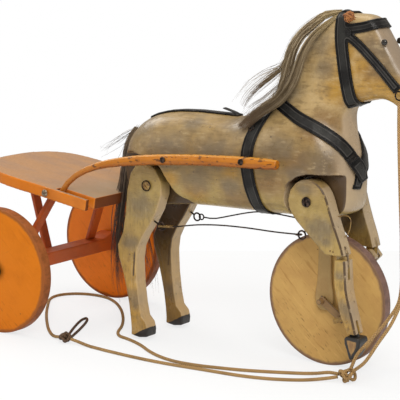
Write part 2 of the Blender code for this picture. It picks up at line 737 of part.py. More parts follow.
def pivot_bolt(name, place, sign):
    """A round-head bolt that carries a leg: shank in the block, head outside the leg."""
    outer = LEG_IN + LEG_T + 0.0006
    profile = [(0.0, 0.0036), (0.0040, 0.0031), (0.0068, 0.0013), (PIVOT_HEAD_R, 0.0), (PIVOT_BOLT_R, 0.0),
               (PIVOT_BOLT_R, -0.0400), (0.0, -0.0400)]
    bolt = turned(name, profile, (place[0], sign * outer, place[1]), (0, sign, 0), steps=12)
    dress(bolt, "steel" if name.startswith("hip") else "iron")


def screw_eye(name, place, sign, shank_to):
    """A screw eye: a wire ring in the XZ plane with a short shank into the wood's edge."""
    y = sign * ROD_Y
    centre = Vector((place[0], y, place[1]))
    target = Vector((shank_to[0], y, shank_to[1]))
    along = (target - centre).normalized()
    eye = ring(name, centre, (0, 1, 0), EYE_RING_R, EYE_WIRE_R)
    start = centre + along * EYE_RING_R
    shank = rod_between("shank", start, target, EYE_WIRE_R, 8)
    eye = boolean(eye, shank, "UNION")
    return dress(eye, "iron")


def kerf(low, high, y):
    """The cutter of a saw kerf for a tongue: low and high are corners in the side view."""
    half = TONGUE_T / 2 + 2 * GAP
    return box("kerf", (low[0], y - half, low[1]), (high[0], y + half, high[1]))


def shifted(obj, pivot, angle):
    """Turn a finished mesh about a pivot's Y axis, so a piece can be made at one angle and stood at another."""
    middle = Vector((pivot[0], 0.0, pivot[1]))
    move = Matrix.Translation(middle) @ Matrix.Rotation(-angle, 4, "Y") @ Matrix.Translation(-middle)
    obj.data.transform(move)
    return obj


def eyed(leg, name, place, sign, tip):
    """Screw eye at place with its shank's tip in the leg, and the leg with the hole for it."""
    y = sign * ROD_Y
    centre, end = Vector((place[0], y, place[1])), Vector((tip[0], y, tip[1]))
    hole_end = end + (end - centre).normalized() * 0.0008
    leg = boolean(leg, rod_between("pilot", centre, hole_end, EYE_WIRE_R + GAP, 8))
    return leg, screw_eye(name, place, sign, tip)


def build_front_leg(side, sign):
    """Upper leg with its knee tongue, lower leg with the lug for the crank pin, and the hoof."""
    near = side == "R"
    y = sign * (LEG_IN + LEG_T / 2)

    upper = board("upper_leg_" + side, UPPER_LEG, y, LEG_T, resolution=2)
    upper = with_holes(upper, [SHOULDER], y, PIVOT_BOLT_R + GAP, 0.03)
    upper = boolean(upper, board("tongue", TONGUE, y, TONGUE_T, bevel=0.0, resolution=2), "UNION")
    upper, eye = eyed(upper, "front_eye_" + side, FRONT_EYE, sign, (0.5125, 0.2115))
    dress(upper, "wood_cream")

    lower = board("lower_leg_" + side, LOWER_LEG, y, LEG_T, resolution=2)
    lower = boolean(lower, kerf((0.550, 0.1430), (0.600, 0.1900), y))
    lower = boolean(lower, kerf((0.570, 0.0500), (0.610, 0.0860), y))
    lug = board("lug", band(LUG, 0.0080), sign * LEG_IN, 0.0056, bevel=0.0, resolution=2)
    lower = boolean(lower, lug, "UNION")
    dress(lower, "wood_cream")

    hoof = board("hoof_" + side, HOOF, y, LEG_T, resolution=2)
    hoof = boolean(hoof, board("tenon", TENON, y, TONGUE_T, bevel=0.0, resolution=2), "UNION")
    dress(hoof, "wood_cream")

    if not near:
        for piece in (lower, hoof):
            shifted(piece, KNEE, FAR_KNEE_TURN)
        for piece in (upper, eye, lower, hoof):
            shifted(piece, SHOULDER, FAR_SHOULDER_TURN)
    pivot_bolt("shoulder_bolt_" + side, SHOULDER, sign)


def build_rear_leg(side, sign):
    y = sign * (LEG_IN + LEG_T / 2)
    leg = board("rear_leg_" + side, REAR_LEG, y, LEG_T, resolution=1)
    leg = with_holes(leg, [HIP], y, PIVOT_BOLT_R + GAP, 0.03)
    leg, _ = eyed(leg, "rear_eye_" + side, REAR_EYE, sign, (0.2340, 0.1905))
    dress(leg, "wood_cream")
    pivot_bolt("hip_bolt_" + side, HIP, sign)


def place_turned(place, pivot, angle):
    x, z = turn_about([place], pivot, angle)[0][:2]
    return (x, z)


def build_rod(side, sign):
    """The wire between the legs' screw eyes.
    Its front loop is through its eye, its rear loop lies beside its eye."""
    front = FRONT_EYE if side == "R" else place_turned(FRONT_EYE, SHOULDER, FAR_SHOULDER_TURN)
    rear = REAR_EYE
    y = sign * ROD_Y
    front_hold = Vector((front[0] - EYE_RING_R, y, front[1]))
    rear_hold = Vector((rear[0] + EYE_RING_R, y, rear[1]))
    rear_hold.y += sign * ROD_REAR_OUT
    front_hold.x += ROD_LOOP_SHIFT
    start = rear_hold + Vector((ROD_LOOP_R, 0, 0))
    end = front_hold - Vector((ROD_LOOP_R, 0, 0))
    bend = [start, *(start.lerp(end, share) + Vector((0, 0, rise)) for share, rise in ROD_BENDS[side]), end]
    rod = tube("rod_" + side, smooth_path(bend, 20), ROD_R, 1)
    for hold, normal in ((front_hold, (0, 0, 1)), (rear_hold, (0, 1, 0))):
        loop = ring("loop", hold, normal, ROD_LOOP_R, ROD_R, 12, 6)
        rod = boolean(rod, loop, "UNION")
    dress(rod, "iron")


# Front wheel

def build_front_wheel():
    """Wheel, the axle with a crank at each end, and the two fork arms."""
    x, z = FRONT_AXLE
    half = FRONT_WHEEL_T / 2
    bore = AXLE_R + GAP
    profile = [(bore, half), (FRONT_WHEEL_R - 0.0015, half), (FRONT_WHEEL_R, half - 0.0015),
               (FRONT_WHEEL_R, -half + 0.0015), (FRONT_WHEEL_R - 0.0015, -half), (bore, -half), (bore, half)]
    dress(turned("front_wheel", profile, (x, 0, z), (0, -1, 0), steps=36), "wood_ochre")

    axle = rod_between("crank_axle", (x, -AXLE_END, z), (x, AXLE_END, z), AXLE_R, 16)
    for side, sign in SIDES.items():
        pin = CRANK_PIN if side == "R" else (2 * x - CRANK_PIN[0], 2 * z - CRANK_PIN[1])
        line = ((x, z), ((x + pin[0]) / 2, (z + pin[1]) / 2), pin)
        ends = Vector((pin[0] - x, pin[1] - z)).normalized() * CRANK_WIDTH / 2
        line = ((x - ends.x, z - ends.y), line[1], (pin[0] + ends.x, pin[1] + ends.y))
        arm = board("arm", band(line, CRANK_WIDTH), sign * (CRANK_IN + CRANK_T / 2), CRANK_T, bevel=0.0,
                    resolution=2)
        axle = boolean(axle, arm, "UNION")
        start = (pin[0], sign * (CRANK_IN + CRANK_T * 0.4), pin[1])
        end = (pin[0], sign * CRANK_PIN_OUT, pin[1])
        axle = boolean(axle, rod_between("pin", start, end, CRANK_PIN_R, 10), "UNION")
    dress(axle, "crank")

    for side, sign in SIDES.items():
        y = sign * (FORK_IN + FORK_T / 2)
        reach = FORK_WIDTH / 2
        end = FORK_END_R
        outline = [(x - reach, FORK_TOP_Z, 1), (x - reach, z + 0.030), (x - end, z + 0.004),
                   (x - end * 0.72, z - end * 0.72), (x, z - end), (x + end * 0.72, z - end * 0.72),
                   (x + end, z + 0.004), (x + reach, z + 0.030), (x + reach, FORK_TOP_Z, 1)]
        arm = board("fork_" + side, outline, y, FORK_T, bevel=0.0005)
        arm = with_holes(arm, [FRONT_AXLE], y, AXLE_R + GAP, 0.01)
        dress(arm, "wood_cream")


# Sulky

def build_rear_wheel(side, sign):
    y = sign * REAR_TRACK / 2
    half = REAR_WHEEL_T / 2
    bore = 0.0036
    profile = [(bore, half), (REAR_WHEEL_R - 0.0015, half), (REAR_WHEEL_R, half - 0.0015),
               (REAR_WHEEL_R, -half + 0.0015), (REAR_WHEEL_R - 0.0015, -half), (bore, -half), (bore, half)]
    dress(turned("rear_wheel_" + side, profile, (0, y, REAR_WHEEL_R), (0, sign, 0), steps=36), "wood_orange")
    face = REAR_TRACK / 2 + half + 0.0006
    profile = [(0.0, 0.0062), (0.0046, 0.0054), (0.0062, 0.0030), (0.0062, 0.0016), (0.0100, 0.0012),
               (0.0100, 0.0), (bore - GAP, 0.0), (bore - GAP, -0.0400), (0.0, -0.0400)]
    screw = turned("hub_screw_" + side, profile, (0, sign * face, REAR_WHEEL_R), (0, sign, 0), steps=12)
    dress(screw, "iron")


def build_beam():
    """The axle beam, a little deeper at its ends where the wheels' screws go in."""
    width, length, height = BEAM_BOX
    low, high = BEAM_Z - height / 2, BEAM_Z + height / 2
    half = length / 2
    outline = [(-half, low, 1), (half, low, 1), (half, high + BEAM_END_RISE, 1), (half - 0.012,
                                                                                  high + BEAM_END_RISE * 0.8),
               (half - 0.035, high, 1), (-half + 0.035, high, 1), (-half + 0.012, high + BEAM_END_RISE * 0.8),
               (-half, high + BEAM_END_RISE, 1)]
    beam = outline_curve("axle_beam", outline, width / 2)
    beam.rotation_euler = (math.pi / 2, 0, math.pi / 2)
    beam = baked(beam)
    ease = beam.modifiers.new("ease", "BEVEL")
    ease.width = 0.0012
    ease.segments = 1
    ease.limit_method = "ANGLE"
    ease.angle_limit = math.radians(50)
    beam = baked(beam)
    for sign in SIDES.values():
        hole = rod_between("hole", (0, sign * 0.090, REAR_WHEEL_R), (0, sign * 0.20, REAR_WHEEL_R), 0.0036,
                           16)
        beam = boolean(beam, hole)
    dress(beam, "wood_red")


def seat_top(x):
    return SEAT_FRONT_Z + SEAT_SLOPE * (x - SEAT_FRONT_X)


def seat_bottom(x):
    return seat_top(x) - SEAT_T * math.sqrt(1 + SEAT_SLOPE ** 2)


def seat_middle(x):
    return (seat_top(x) + seat_bottom(x)) / 2


def tenon_bar(name, sign, radius, longer=0.0):
    """The straight round rear end of a shaft, inside the seat."""
    y = sign * (SLOT_IN + SLOT_OUT) / 2
    back, front = TENON_BACK_X - longer, SLOT_BACK_X + 0.0075 + longer
    return rod_between(name, (back, y, seat_middle(back)), (front, y, seat_middle(front)), radius, 16)


def build_seat():
    """The seat board: straight in front, round at the back, slotted at the front corners for the shafts."""
    half = SEAT_HALF_WIDTH
    right = [(SEAT_FRONT_X, -half, 1), (0.060, -half), (-0.030, -half), (-0.070, -half * 0.86), (-0.092,
                                                                                                 -half * 0.55)]
    left = [(x, -y, *rest) for x, y, *rest in reversed(right)]
    outline = [*right, (SEAT_BACK_X, 0.0), *left]
    seat = outline_curve("seat", outline, SEAT_T / 2, 4)
    tilt = math.atan(SEAT_SLOPE)
    seat.rotation_euler = (0, 0, 0)
    middle = Vector((SEAT_FRONT_X, 0, 0))
    drop = Matrix.Translation((SEAT_FRONT_X, 0, SEAT_FRONT_Z)) @ Matrix.Rotation(-tilt, 4, "Y")
    seat.matrix_world = drop @ Matrix.Translation((0, 0, -SEAT_T / 2)) @ Matrix.Translation(-middle)
    seat = baked(seat)
    ease = seat.modifiers.new("ease", "BEVEL")
    ease.width = 0.002
    ease.segments = 1
    ease.limit_method = "ANGLE"
    ease.angle_limit = math.radians(50)
    seat = baked(seat)
    for sign in SIDES.values():
        low, high = sorted((sign * SLOT_IN, sign * SLOT_OUT))
        seat = boolean(seat, box("slot", (SLOT_BACK_X, low, 0.15), (0.30, high, 0.30)))
        seat = boolean(seat, tenon_bar("mortise", sign, TENON_R + GAP, 0.0008))
        z = seat_middle(SEAT_BOLT_X)
        start, end = (SEAT_BOLT_X, sign * 0.080, z), (SEAT_BOLT_X, sign * 0.2, z)
        seat = boolean(seat, rod_between("hole", start, end, SCREW_R + GAP, 10))
    dress(seat, "seat_wood")


def round_head_screw(name, place, sign, head_r, shank):
    """A round-head screw driven in from a side of the toy: place is the middle of its head's flat face."""
    profile = [(0.0, 0.0030 * head_r / 0.006), (0.58 * head_r, 0.0026 * head_r / 0.006), (head_r, 0.0006),
               (head_r, 0.0), (SCREW_R, 0.0), (SCREW_R, -shank), (0.0, -shank)]
    return turned(name, profile, place, (0, sign, 0), steps=10)


def build_seat_bolt(side, sign):
    """The screw that holds a shaft's tenon in the seat."""
    place = (SEAT_BOLT_X, sign * SEAT_EDGE_AT_BOLT, seat_middle(SEAT_BOLT_X))
    dress(round_head_screw("seat_bolt_" + side, place, sign, 0.0060, 0.0265), "steel")


def build_struts():
    """Two front struts from the beam's top to the seat, and one behind it."""
    section = (0.008, 0.018)
    for side, sign in SIDES.items():
        foot, head = Vector((-0.006, sign * 0.087, 0.1125)), Vector((0.050, sign * 0.064, seat_bottom(0.050)))
        lean_bar("strut_" + side, foot, head, section)
    foot, head = Vector((-0.0215, 0.0, 0.0930)), Vector((-0.0620, 0.0, seat_bottom(-0.062)))
    lean_bar("strut_back", foot, head, (0.008, 0.016))


def lean_bar(name, foot, head, section):
    """A flat bar between two points, cut level at its foot and to the seat's slope at its head."""
    along = head - foot
    reach = 0.03
    depth, width = section
    body = bmesh.new()
    rings = []
    for place in (foot - along.normalized() * reach, head + along.normalized() * reach):
        corners = [(-depth / 2, -width / 2), (depth / 2, -width / 2), (depth / 2, width / 2), (-depth / 2,
                                                                                               width / 2)]
        rings.append([body.verts.new((place.x + a, place.y + b, place.z)) for a, b in corners])
    for i in range(4):
        j = (i + 1) % 4
        body.faces.new((rings[0][i], rings[0][j], rings[1][j], rings[1][i]))
    body.faces.new(list(reversed(rings[0])))
    body.faces.new(rings[1])
    bmesh.ops.recalc_face_normals(body, faces=body.faces)
    seat_normal = Vector((-SEAT_SLOPE, 0, 1)).normalized()
    ceiling = Vector((0, 0, seat_bottom(0.0))) - seat_normal * GAP
    floor_z = foot.z
    for place, normal in ((ceiling, seat_normal), (Vector((0, 0, floor_z)), Vector((0, 0, -1)))):
        geometry = body.verts[:] + body.edges[:] + body.faces[:]
        cut = bmesh.ops.bisect_plane(body, geom=geometry, plane_co=place, plane_no=normal, clear_outer=True)
        edges = [e for e in cut["geom_cut"] if isinstance(e, bmesh.types.BMEdge)]
        bmesh.ops.contextual_create(body, geom=edges)
    bmesh.ops.recalc_face_normals(body, faces=body.faces)
    mesh = bpy.data.meshes.new(name)
    body.to_mesh(mesh)
    body.free()
    bar = link(name, mesh)
    return dress(bar, "wood_red")


def build_shaft(side, sign):
    """A bentwood shaft from its tenon in the seat to the horse's side, with its two screws."""
    inner = (SLOT_IN + SLOT_OUT) / 2
    line = [(SLOT_BACK_X + 0.0045, inner, seat_middle(SLOT_BACK_X) + 0.0025), (0.0935, inner, 0.2350),
            (0.1040, inner, 0.2455), (0.1180, inner, 0.2560), (0.1430, 0.0925, 0.2686), (0.1720, 0.0885,
                                                                                         0.2779),
            (0.2110, 0.0812, 0.2850), (0.2500, 0.0760, 0.2896), (0.2900, SHAFT_Y, 0.2932),
            (0.3400, SHAFT_Y, 0.2970), (0.4000, SHAFT_Y, 0.2998), (0.4500, SHAFT_Y, 0.3012),
            (0.4760, SHAFT_Y, 0.3017)]
    path = smooth_path([(x, sign * y, z) for x, y, z in line], 20)
    radii = []
    for point in path:
        thin_rear = 0.58 + 0.42 * smooth_step(0.110, 0.255, point.x)
        thin_tip = 1.0 - 0.18 * smooth_step(0.455, 0.476, point.x)
        radii.append(thin_rear * thin_tip)
    shaft = tube("shaft_" + side, path, SHAFT_R, 2, radii)
    shaft = boolean(shaft, tenon_bar("tenon", sign, TENON_R), "UNION")
    shaft = with_holes(shaft, [(SEAT_BOLT_X, seat_middle(SEAT_BOLT_X))], sign * inner, SCREW_R + GAP, 0.02)
    shaft = with_holes(shaft, SHAFT_SCREWS, sign * SHAFT_Y, SCREW_R + GAP, 0.02)
    dress(shaft, "wood_orange")
    for (x, z), end in zip(SHAFT_SCREWS, ("rear", "front")):
        place = (x, sign * SHAFT_SCREW_Y, z)
        dress(round_head_screw("shaft_screw_%s_%s" % (end, side), place, sign, 0.0050, 0.0330), "iron")


# Cord

KNOT = Vector((0.5940, -0.0700, 0.0113))
KNOT_SIZE = (0.0165, 0.0135, 0.0110)
LOOP_KNOT = Vector((0.1300, -0.1390, 0.0093))
LOOP_KNOT_SIZE = (0.0120, 0.0100, 0.0090)
SOCKET = 0.0010

RIGHT_REIN = ((0.6425, -0.0262, 0.3965), (0.6470, -0.0330, 0.3560), (0.6600, -0.0500, 0.2780), (0.6700,
                                                                                                -0.0610, 0.2000),
              (0.6690, -0.0620, 0.1292), (0.6525, -0.0620, 0.0998), (0.6280, -0.0625, 0.0690), (0.6055,
                                                                                                -0.0640, 0.0420))
LEFT_REIN = ((0.6425, 0.0262, 0.3965), (0.6480, 0.0160, 0.3560), (0.6640, -0.0220, 0.2850), (0.6770, -0.0600,
                                                                                             0.2150),
             (0.6790, -0.0690, 0.1450), (0.6650, -0.0710, 0.1020), (0.6420, -0.0725, 0.0650), (0.6220,
                                                                                               -0.0730, 0.0350))
LONG_STRAND = ((0.5600, -0.0655, 0.0085), (0.5380, -0.0705, 0.0045), (0.5170, -0.0770), (0.4801, -0.0950),
               (0.4424, -0.1110),
               (0.4032, -0.1225), (0.3809, -0.1280), (0.3578, -0.1310), (0.3334, -0.1310), (0.3034, -0.1240),
               (0.2740, -0.1110), (0.2400, -0.0900), (0.2080, -0.0750), (0.1760, -0.0640), (0.1600, -0.0450),
               (0.1450, -0.0180), (0.1180, 0.0200), (0.0744, 0.0690), (0.0332, 0.1040), (0.0000, 0.1210),
               (-0.0300, 0.1235), (-0.0600, 0.1130), (-0.0770, 0.0900), (-0.0750, 0.0640), (-0.0375, 0.0102),
               (-0.0026, -0.0321), (0.0286, -0.0665), (0.0648, -0.1030), (0.0922, -0.1248), (0.1080, -0.1330,
                                                                                             0.0050))
SHORT_STRAND = ((0.5660, -0.0830, 0.0050), (0.5401, -0.1020), (0.5000, -0.1240), (0.4591, -0.1355), (0.4150,
                                                                                                     -0.1405),
                (0.3908, -0.1425), (0.3671, -0.1450), (0.3339, -0.1480), (0.2858, -0.1490), (0.2332, -0.1460),
                (0.1791, -0.1400), (0.1520, -0.1380, 0.0060))


def route(points):
    """Route points in space: a point with no height lies on the floor."""
    return [Vector((*p, FLOOR_CORD_Z)) if len(p) == 2 else Vector(p) for p in points]


def knot_lump(name, centre, size):
    """A closed lump with the size of a knot."""
    body = bmesh.new()
    bmesh.ops.create_uvsphere(body, u_segments=12, v_segments=8, radius=1.0)
    bmesh.ops.scale(body, vec=size, verts=body.verts)
    bmesh.ops.translate(body, vec=centre, verts=body.verts)
    mesh = bpy.data.meshes.new(name)
    body.to_mesh(mesh)
    body.free()
    return link(name, mesh)


def meet(lump, centre, size, towards):
    """Where a cord from a point towards a lump ends, and the lump with a shallow socket for that end."""
    out = (Vector(towards) - centre).normalized()
    radius = 1.0 / math.sqrt(sum((c / s) ** 2 for c, s in zip(out, size)))
    end = centre + out * (radius - SOCKET)
    cutter = rod_between("socket", end - out * GAP, end + out * 0.02, CORD_R + 2 * GAP, 12)
    return boolean(lump, cutter), end


def cord_tube(name, points, spacing=0.0135):
    length = sum((b - a).length for a, b in zip(points, points[1:]))
    count = min(max(int(length / spacing), 8), 78)
    path = smooth_path(points, count)
    for point in path:
        point.z = max(point.z, CORD_R + 0.0001)
    dress(tube(name, path, CORD_R, 2), "cord")


def build_cord():
    """The reins hang from the bit rings, are knotted together on the floor and run back to a hand loop."""
    knot = knot_lump("rein_knot", KNOT, KNOT_SIZE)
    small = knot_lump("hand_loop", LOOP_KNOT, LOOP_KNOT_SIZE)
    for name, points in (("rein_R", RIGHT_REIN), ("rein_L", LEFT_REIN)):
        points = route(points)
        knot, end = meet(knot, KNOT, KNOT_SIZE, points[-1])
        cord_tube(name, [*points, end])
    for name, points in (("strand_long", LONG_STRAND), ("strand_short", SHORT_STRAND)):
        points = route(points)
        knot, start = meet(knot, KNOT, KNOT_SIZE, points[0])
        small, end = meet(small, LOOP_KNOT, LOOP_KNOT_SIZE, points[-1])
        cord_tube(name, [start, *points, end])
    dress(knot, "cord")

    tip = Vector((0.0640, -0.0100, 0.0))
    base = Vector((LOOP_KNOT.x, LOOP_KNOT.y, 0.0))
    along = (tip - base)
    across = Vector((-along.y, along.x, 0.0)).normalized()
    bulge = [(0.03, 0.0027), (0.22, 0.0036), (0.50, 0.0056), (0.80, 0.0058), (0.95, 0.0036), (1.00, 0.0)]
    height = Vector((0, 0, EYE_CORD_R + GAP))
    one_way = [base + along * t + across * w + height for t, w in bulge]
    back_way = [base + along * t - across * w + height for t, w in reversed(bulge[:-1])]
    eye = tube("eye", smooth_path(one_way + back_way, 26), EYE_CORD_R, 1)
    dress(boolean(small, eye, "UNION"), "cord")


def set_origin(name, point):
    """Move an object's origin to a joint's axis and keep its shape where it is."""
    obj = bpy.data.objects[name]
    obj.data.transform(Matrix.Translation(-Vector(point)))
    obj.location = point


def in_space(place, y):
    return (place[0], y, place[1])


FAR_KNEE = place_turned(KNEE, SHOULDER, FAR_SHOULDER_TURN)
FAR_FETLOCK = place_turned(place_turned(FETLOCK, KNEE, FAR_KNEE_TURN), SHOULDER, FAR_SHOULDER_TURN)
FAR_FRONT_EYE = place_turned(FRONT_EYE, SHOULDER, FAR_SHOULDER_TURN)
LEG_Y = LEG_IN + LEG_T / 2
PIVOTS = {
    "upper_leg_R": in_space(SHOULDER, -LEG_Y), "upper_leg_L": in_space(SHOULDER, LEG_Y),
    "lower_leg_R": in_space(KNEE, -LEG_Y), "lower_leg_L": in_space(FAR_KNEE, LEG_Y),
    "hoof_R": in_space(FETLOCK, -LEG_Y), "hoof_L": in_space(FAR_FETLOCK, LEG_Y),
    "rear_leg_R": in_space(HIP, -LEG_Y), "rear_leg_L": in_space(HIP, LEG_Y),
    "rod_R": (FRONT_EYE[0] - EYE_RING_R, -ROD_Y, FRONT_EYE[1]),
    "rod_L": (FAR_FRONT_EYE[0] - EYE_RING_R, ROD_Y, FAR_FRONT_EYE[1]),
    "front_wheel": in_space(FRONT_AXLE, 0.0), "crank_axle": in_space(FRONT_AXLE, 0.0),
    "rear_wheel_R": (0.0, -REAR_TRACK / 2, REAR_WHEEL_R), "rear_wheel_L": (0.0, REAR_TRACK / 2, REAR_WHEEL_R),
}


def main():
    build_horse()
    build_head_trim()
    build_hair()
    build_front_wheel()
    build_beam()
    build_seat()
    build_struts()
    for side, sign in SIDES.items():
        build_front_leg(side, sign)
        build_rear_leg(side, sign)
        build_rod(side, sign)
        build_rear_wheel(side, sign)
        build_seat_bolt(side, sign)
        build_shaft(side, sign)
    build_cord()
    for name, pivot in PIVOTS.items():
        set_origin(name, pivot)
    for obj in HOME.objects:
        obj.location.x -= ORIGIN_X


main()
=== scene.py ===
"""Looks of a horse and sulky pull toy: paint, leather, hair, cord and metal around its fixed frame.

Metres, +Z up. The horse faces +X and its right side, the side nearer the camera, is -Y.
"""

import json
import math
import random

import bmesh
import bpy
import numpy as np
from mathutils import Matrix, Vector
from mathutils.bvhtree import BVHTree
from mathutils.kdtree import KDTree


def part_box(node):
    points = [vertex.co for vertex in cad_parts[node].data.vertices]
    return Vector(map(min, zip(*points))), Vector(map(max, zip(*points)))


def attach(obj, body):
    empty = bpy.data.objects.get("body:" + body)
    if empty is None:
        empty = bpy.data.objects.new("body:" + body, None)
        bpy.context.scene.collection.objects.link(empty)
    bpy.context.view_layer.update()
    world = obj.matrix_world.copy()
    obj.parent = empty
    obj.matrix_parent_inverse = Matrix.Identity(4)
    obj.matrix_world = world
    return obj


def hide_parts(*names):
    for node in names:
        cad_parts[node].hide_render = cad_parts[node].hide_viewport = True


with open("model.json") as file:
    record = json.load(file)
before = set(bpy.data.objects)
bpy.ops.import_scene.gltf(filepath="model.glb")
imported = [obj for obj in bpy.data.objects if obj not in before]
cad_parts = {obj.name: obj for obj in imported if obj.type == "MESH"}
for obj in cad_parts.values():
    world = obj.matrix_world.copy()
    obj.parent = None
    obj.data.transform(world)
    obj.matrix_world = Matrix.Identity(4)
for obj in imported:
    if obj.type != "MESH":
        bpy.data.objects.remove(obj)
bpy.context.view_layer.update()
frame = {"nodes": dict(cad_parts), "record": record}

bl_info = {
    "name": "Horse and Sulky Toy",
    "version": (1, 0, 0),
    "blender": (4, 5, 0),
    "location": "3D View > Sidebar > Horse Toy",
    "description": "Dresses a horse and sulky pull toy's frame with paint, leather, hair, cord and metal",
    "category": "Add Mesh",
}

NODES = frame["nodes"]
BODY_OF = {node: body for body, nodes in frame["record"]["behaviour"]["bodies"].items() for node in nodes}
SIDES = (("R", -1), ("L", 1))
ORIGIN_X = 0.28618  # the layout's rear axle lies this far behind the origin
REAR_HUB = (-ORIGIN_X, 0.100)  # the wheels' middles, as (x, z)
FRONT_HUB = (0.23342, 0.0984)

JOINT_SEAM = 0.003  # two solids closer than this are grown together without an edge
SOFTENED_WHOLE = 3  # passes that also round true edges
WEAR_BENDS = (45.0, 110.0)  # curvature per metre at which wear starts, and how much more it takes to be full
CAVITY_BENDS = (25.0, 80.0)  # the same for dirt in a hollow
EDGE_ANGLE = math.radians(38.0)  # faces that meet by more than this make a true edge
EDGE_STEP = 0.0012  # between the points that stand for a true edge
NO_EDGE = 0.02  # distance from an edge where a piece has none
BORDER_LIFT = 0.00035  # how far the border of a strap stands up
TRIM_RIM = 0.004  # small leather trim is painted as leather this far from its edge


# Sizes and colours that a user would change

def length_prop(name, text, default):
    """A length in metres."""
    return bpy.props.FloatProperty(name=name, description=text, default=default, min=0.0, subtype="DISTANCE",
                                   unit="LENGTH", precision=5)


def count_prop(name, text, default):
    """A number of hairs."""
    return bpy.props.IntProperty(name=name, description=text, default=default, min=10)


def colour_prop(name, text, default):
    """A paint's colour, in linear light."""
    return bpy.props.FloatVectorProperty(name=name, description=text, default=default, size=3, min=0.0,
                                         max=1.0, subtype="COLOR")


class ToySizes(bpy.types.PropertyGroup):
    cord_diameter: length_prop("Cord Diameter", "Thickness of the braided pull cord", 0.005)
    braid_pitch: length_prop("Braid Pitch", "Length of one turn of the cord's braid", 0.011)
    hair_thickness: length_prop("Hair Thickness", "Half the thickness of one hair", 0.00026)
    mane_hairs: count_prop("Mane Hairs", "Number of hairs in the mane", 950)
    tail_hairs: count_prop("Tail Hairs", "Number of hairs in the tail", 430)
    strap_border: length_prop("Strap Border", "Width of the raised border of a leather strap", 0.0022)
    wood_cell: length_prop("Wood Cell", "Mesh size of the carved body", 0.0018)


class ToyColours(bpy.types.PropertyGroup):
    cream: colour_prop("Cream", "Pale paint of the horse", (0.48, 0.355, 0.195))
    ochre: colour_prop("Ochre", "Yellowed paint of the horse", (0.265, 0.165, 0.050))
    dapple: colour_prop("Dapple", "Smudged grey dapples", (0.140, 0.112, 0.078))
    bare: colour_prop("Bare Wood", "Wood that shows where paint is rubbed off", (0.36, 0.205, 0.095))
    orange: colour_prop("Orange", "Paint of the near wheel and the seat's edge", (0.64, 0.178, 0.002))
    red: colour_prop("Red", "Paint of the beam and struts", (0.50, 0.098, 0.014))
    wheel: colour_prop("Front Wheel", "Worn ochre of the front wheel", (0.56, 0.345, 0.115))
    seat: colour_prop("Seat", "Worn top of the seat board", (0.47, 0.250, 0.110))
    leather: colour_prop("Leather", "Black harness leather", (0.006, 0.0055, 0.006))
    hair: colour_prop("Hair", "Grey-brown mane", (0.275, 0.200, 0.108))
    cord: colour_prop("Cord", "Golden braided cord", (0.50, 0.305, 0.115))


# Meshes

def new_object(name, mesh):
    """A new object in the scene."""
    made = bpy.data.objects.new(name, mesh)
    bpy.context.scene.collection.objects.link(made)
    return made


def object_from(name, body):
    """A new object from a bmesh, which is freed."""
    mesh = bpy.data.meshes.new(name)
    body.to_mesh(mesh)
    body.free()
    return new_object(name, mesh)


def bake_modifiers(obj):
    """Turn an object's modifiers into plain mesh."""
    bpy.context.view_layer.update()
    result = bpy.data.meshes.new_from_object(obj.evaluated_get(bpy.context.evaluated_depsgraph_get()))
    obj.modifiers.clear()
    obj.data = result
    return obj


def dress(obj, material, *nodes, body=None, slot=None):
    """Give a finished piece its material and make it ride, in place of the frame's own solids."""
    obj.data.materials.clear()
    obj.data.materials.append(bpy.data.materials[material])
    obj.data.shade_smooth()
    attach(obj, body or BODY_OF[nodes[0]])
    if nodes:
        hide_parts(*nodes)


def middle_of(node):
    """The middle of a solid's box."""
    low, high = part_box(node)
    return (low + high) / 2


def outer_face(node, sign):
    """How far out to its own side a solid reaches."""
    low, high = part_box(node)
    return high.y if sign > 0 else low.y


def merged(node):
    """A copy of a solid of the frame with its loose triangles joined."""
    body = bmesh.new()
    body.from_mesh(NODES[node].data)
    bmesh.ops.remove_doubles(body, verts=body.verts, dist=1e-5)
    return body


def sharp_points(body):
    """Points along the true edges of a mesh."""
    points = []
    for edge in body.edges:
        if len(edge.link_faces) == 2 and edge.calc_face_angle(0.0) > EDGE_ANGLE:
            a, b = (v.co for v in edge.verts)
            count = max(1, int((b - a).length / EDGE_STEP))
            points += [a.lerp(b, i / count) for i in range(count + 1)]
    return points


def nearest(points, places):
    """For each place, how far it is from the nearest of some points."""
    if not points:
        return np.full(len(places), NO_EDGE)
    tree = KDTree(len(points))
    for index, point in enumerate(points):
        tree.insert(point, index)
    tree.balance()
    return np.array([tree.find(place)[2] for place in places])


def neighbour_mean(values, a, b, count):
    """Mean of each vertex's neighbours."""
    total = np.zeros_like(values)
    np.add.at(total, a, values[b])
    np.add.at(total, b, values[a])
    return total / count


def read_points(mesh, normals=False):
    """The places of a mesh's vertices, or the ways they face, one to a row."""
    flat = np.empty(len(mesh.vertices) * 3)
    if normals:
        mesh.vertex_normals.foreach_get("vector", flat)
    else:
        mesh.vertices.foreach_get("co", flat)
    return flat.reshape(-1, 3)


def put_attribute(mesh, name, values):
    """Store a value for each vertex."""
    made = mesh.attributes.new(name, "FLOAT", "POINT")
    made.data.foreach_set("value", np.asarray(values, dtype=np.float32))


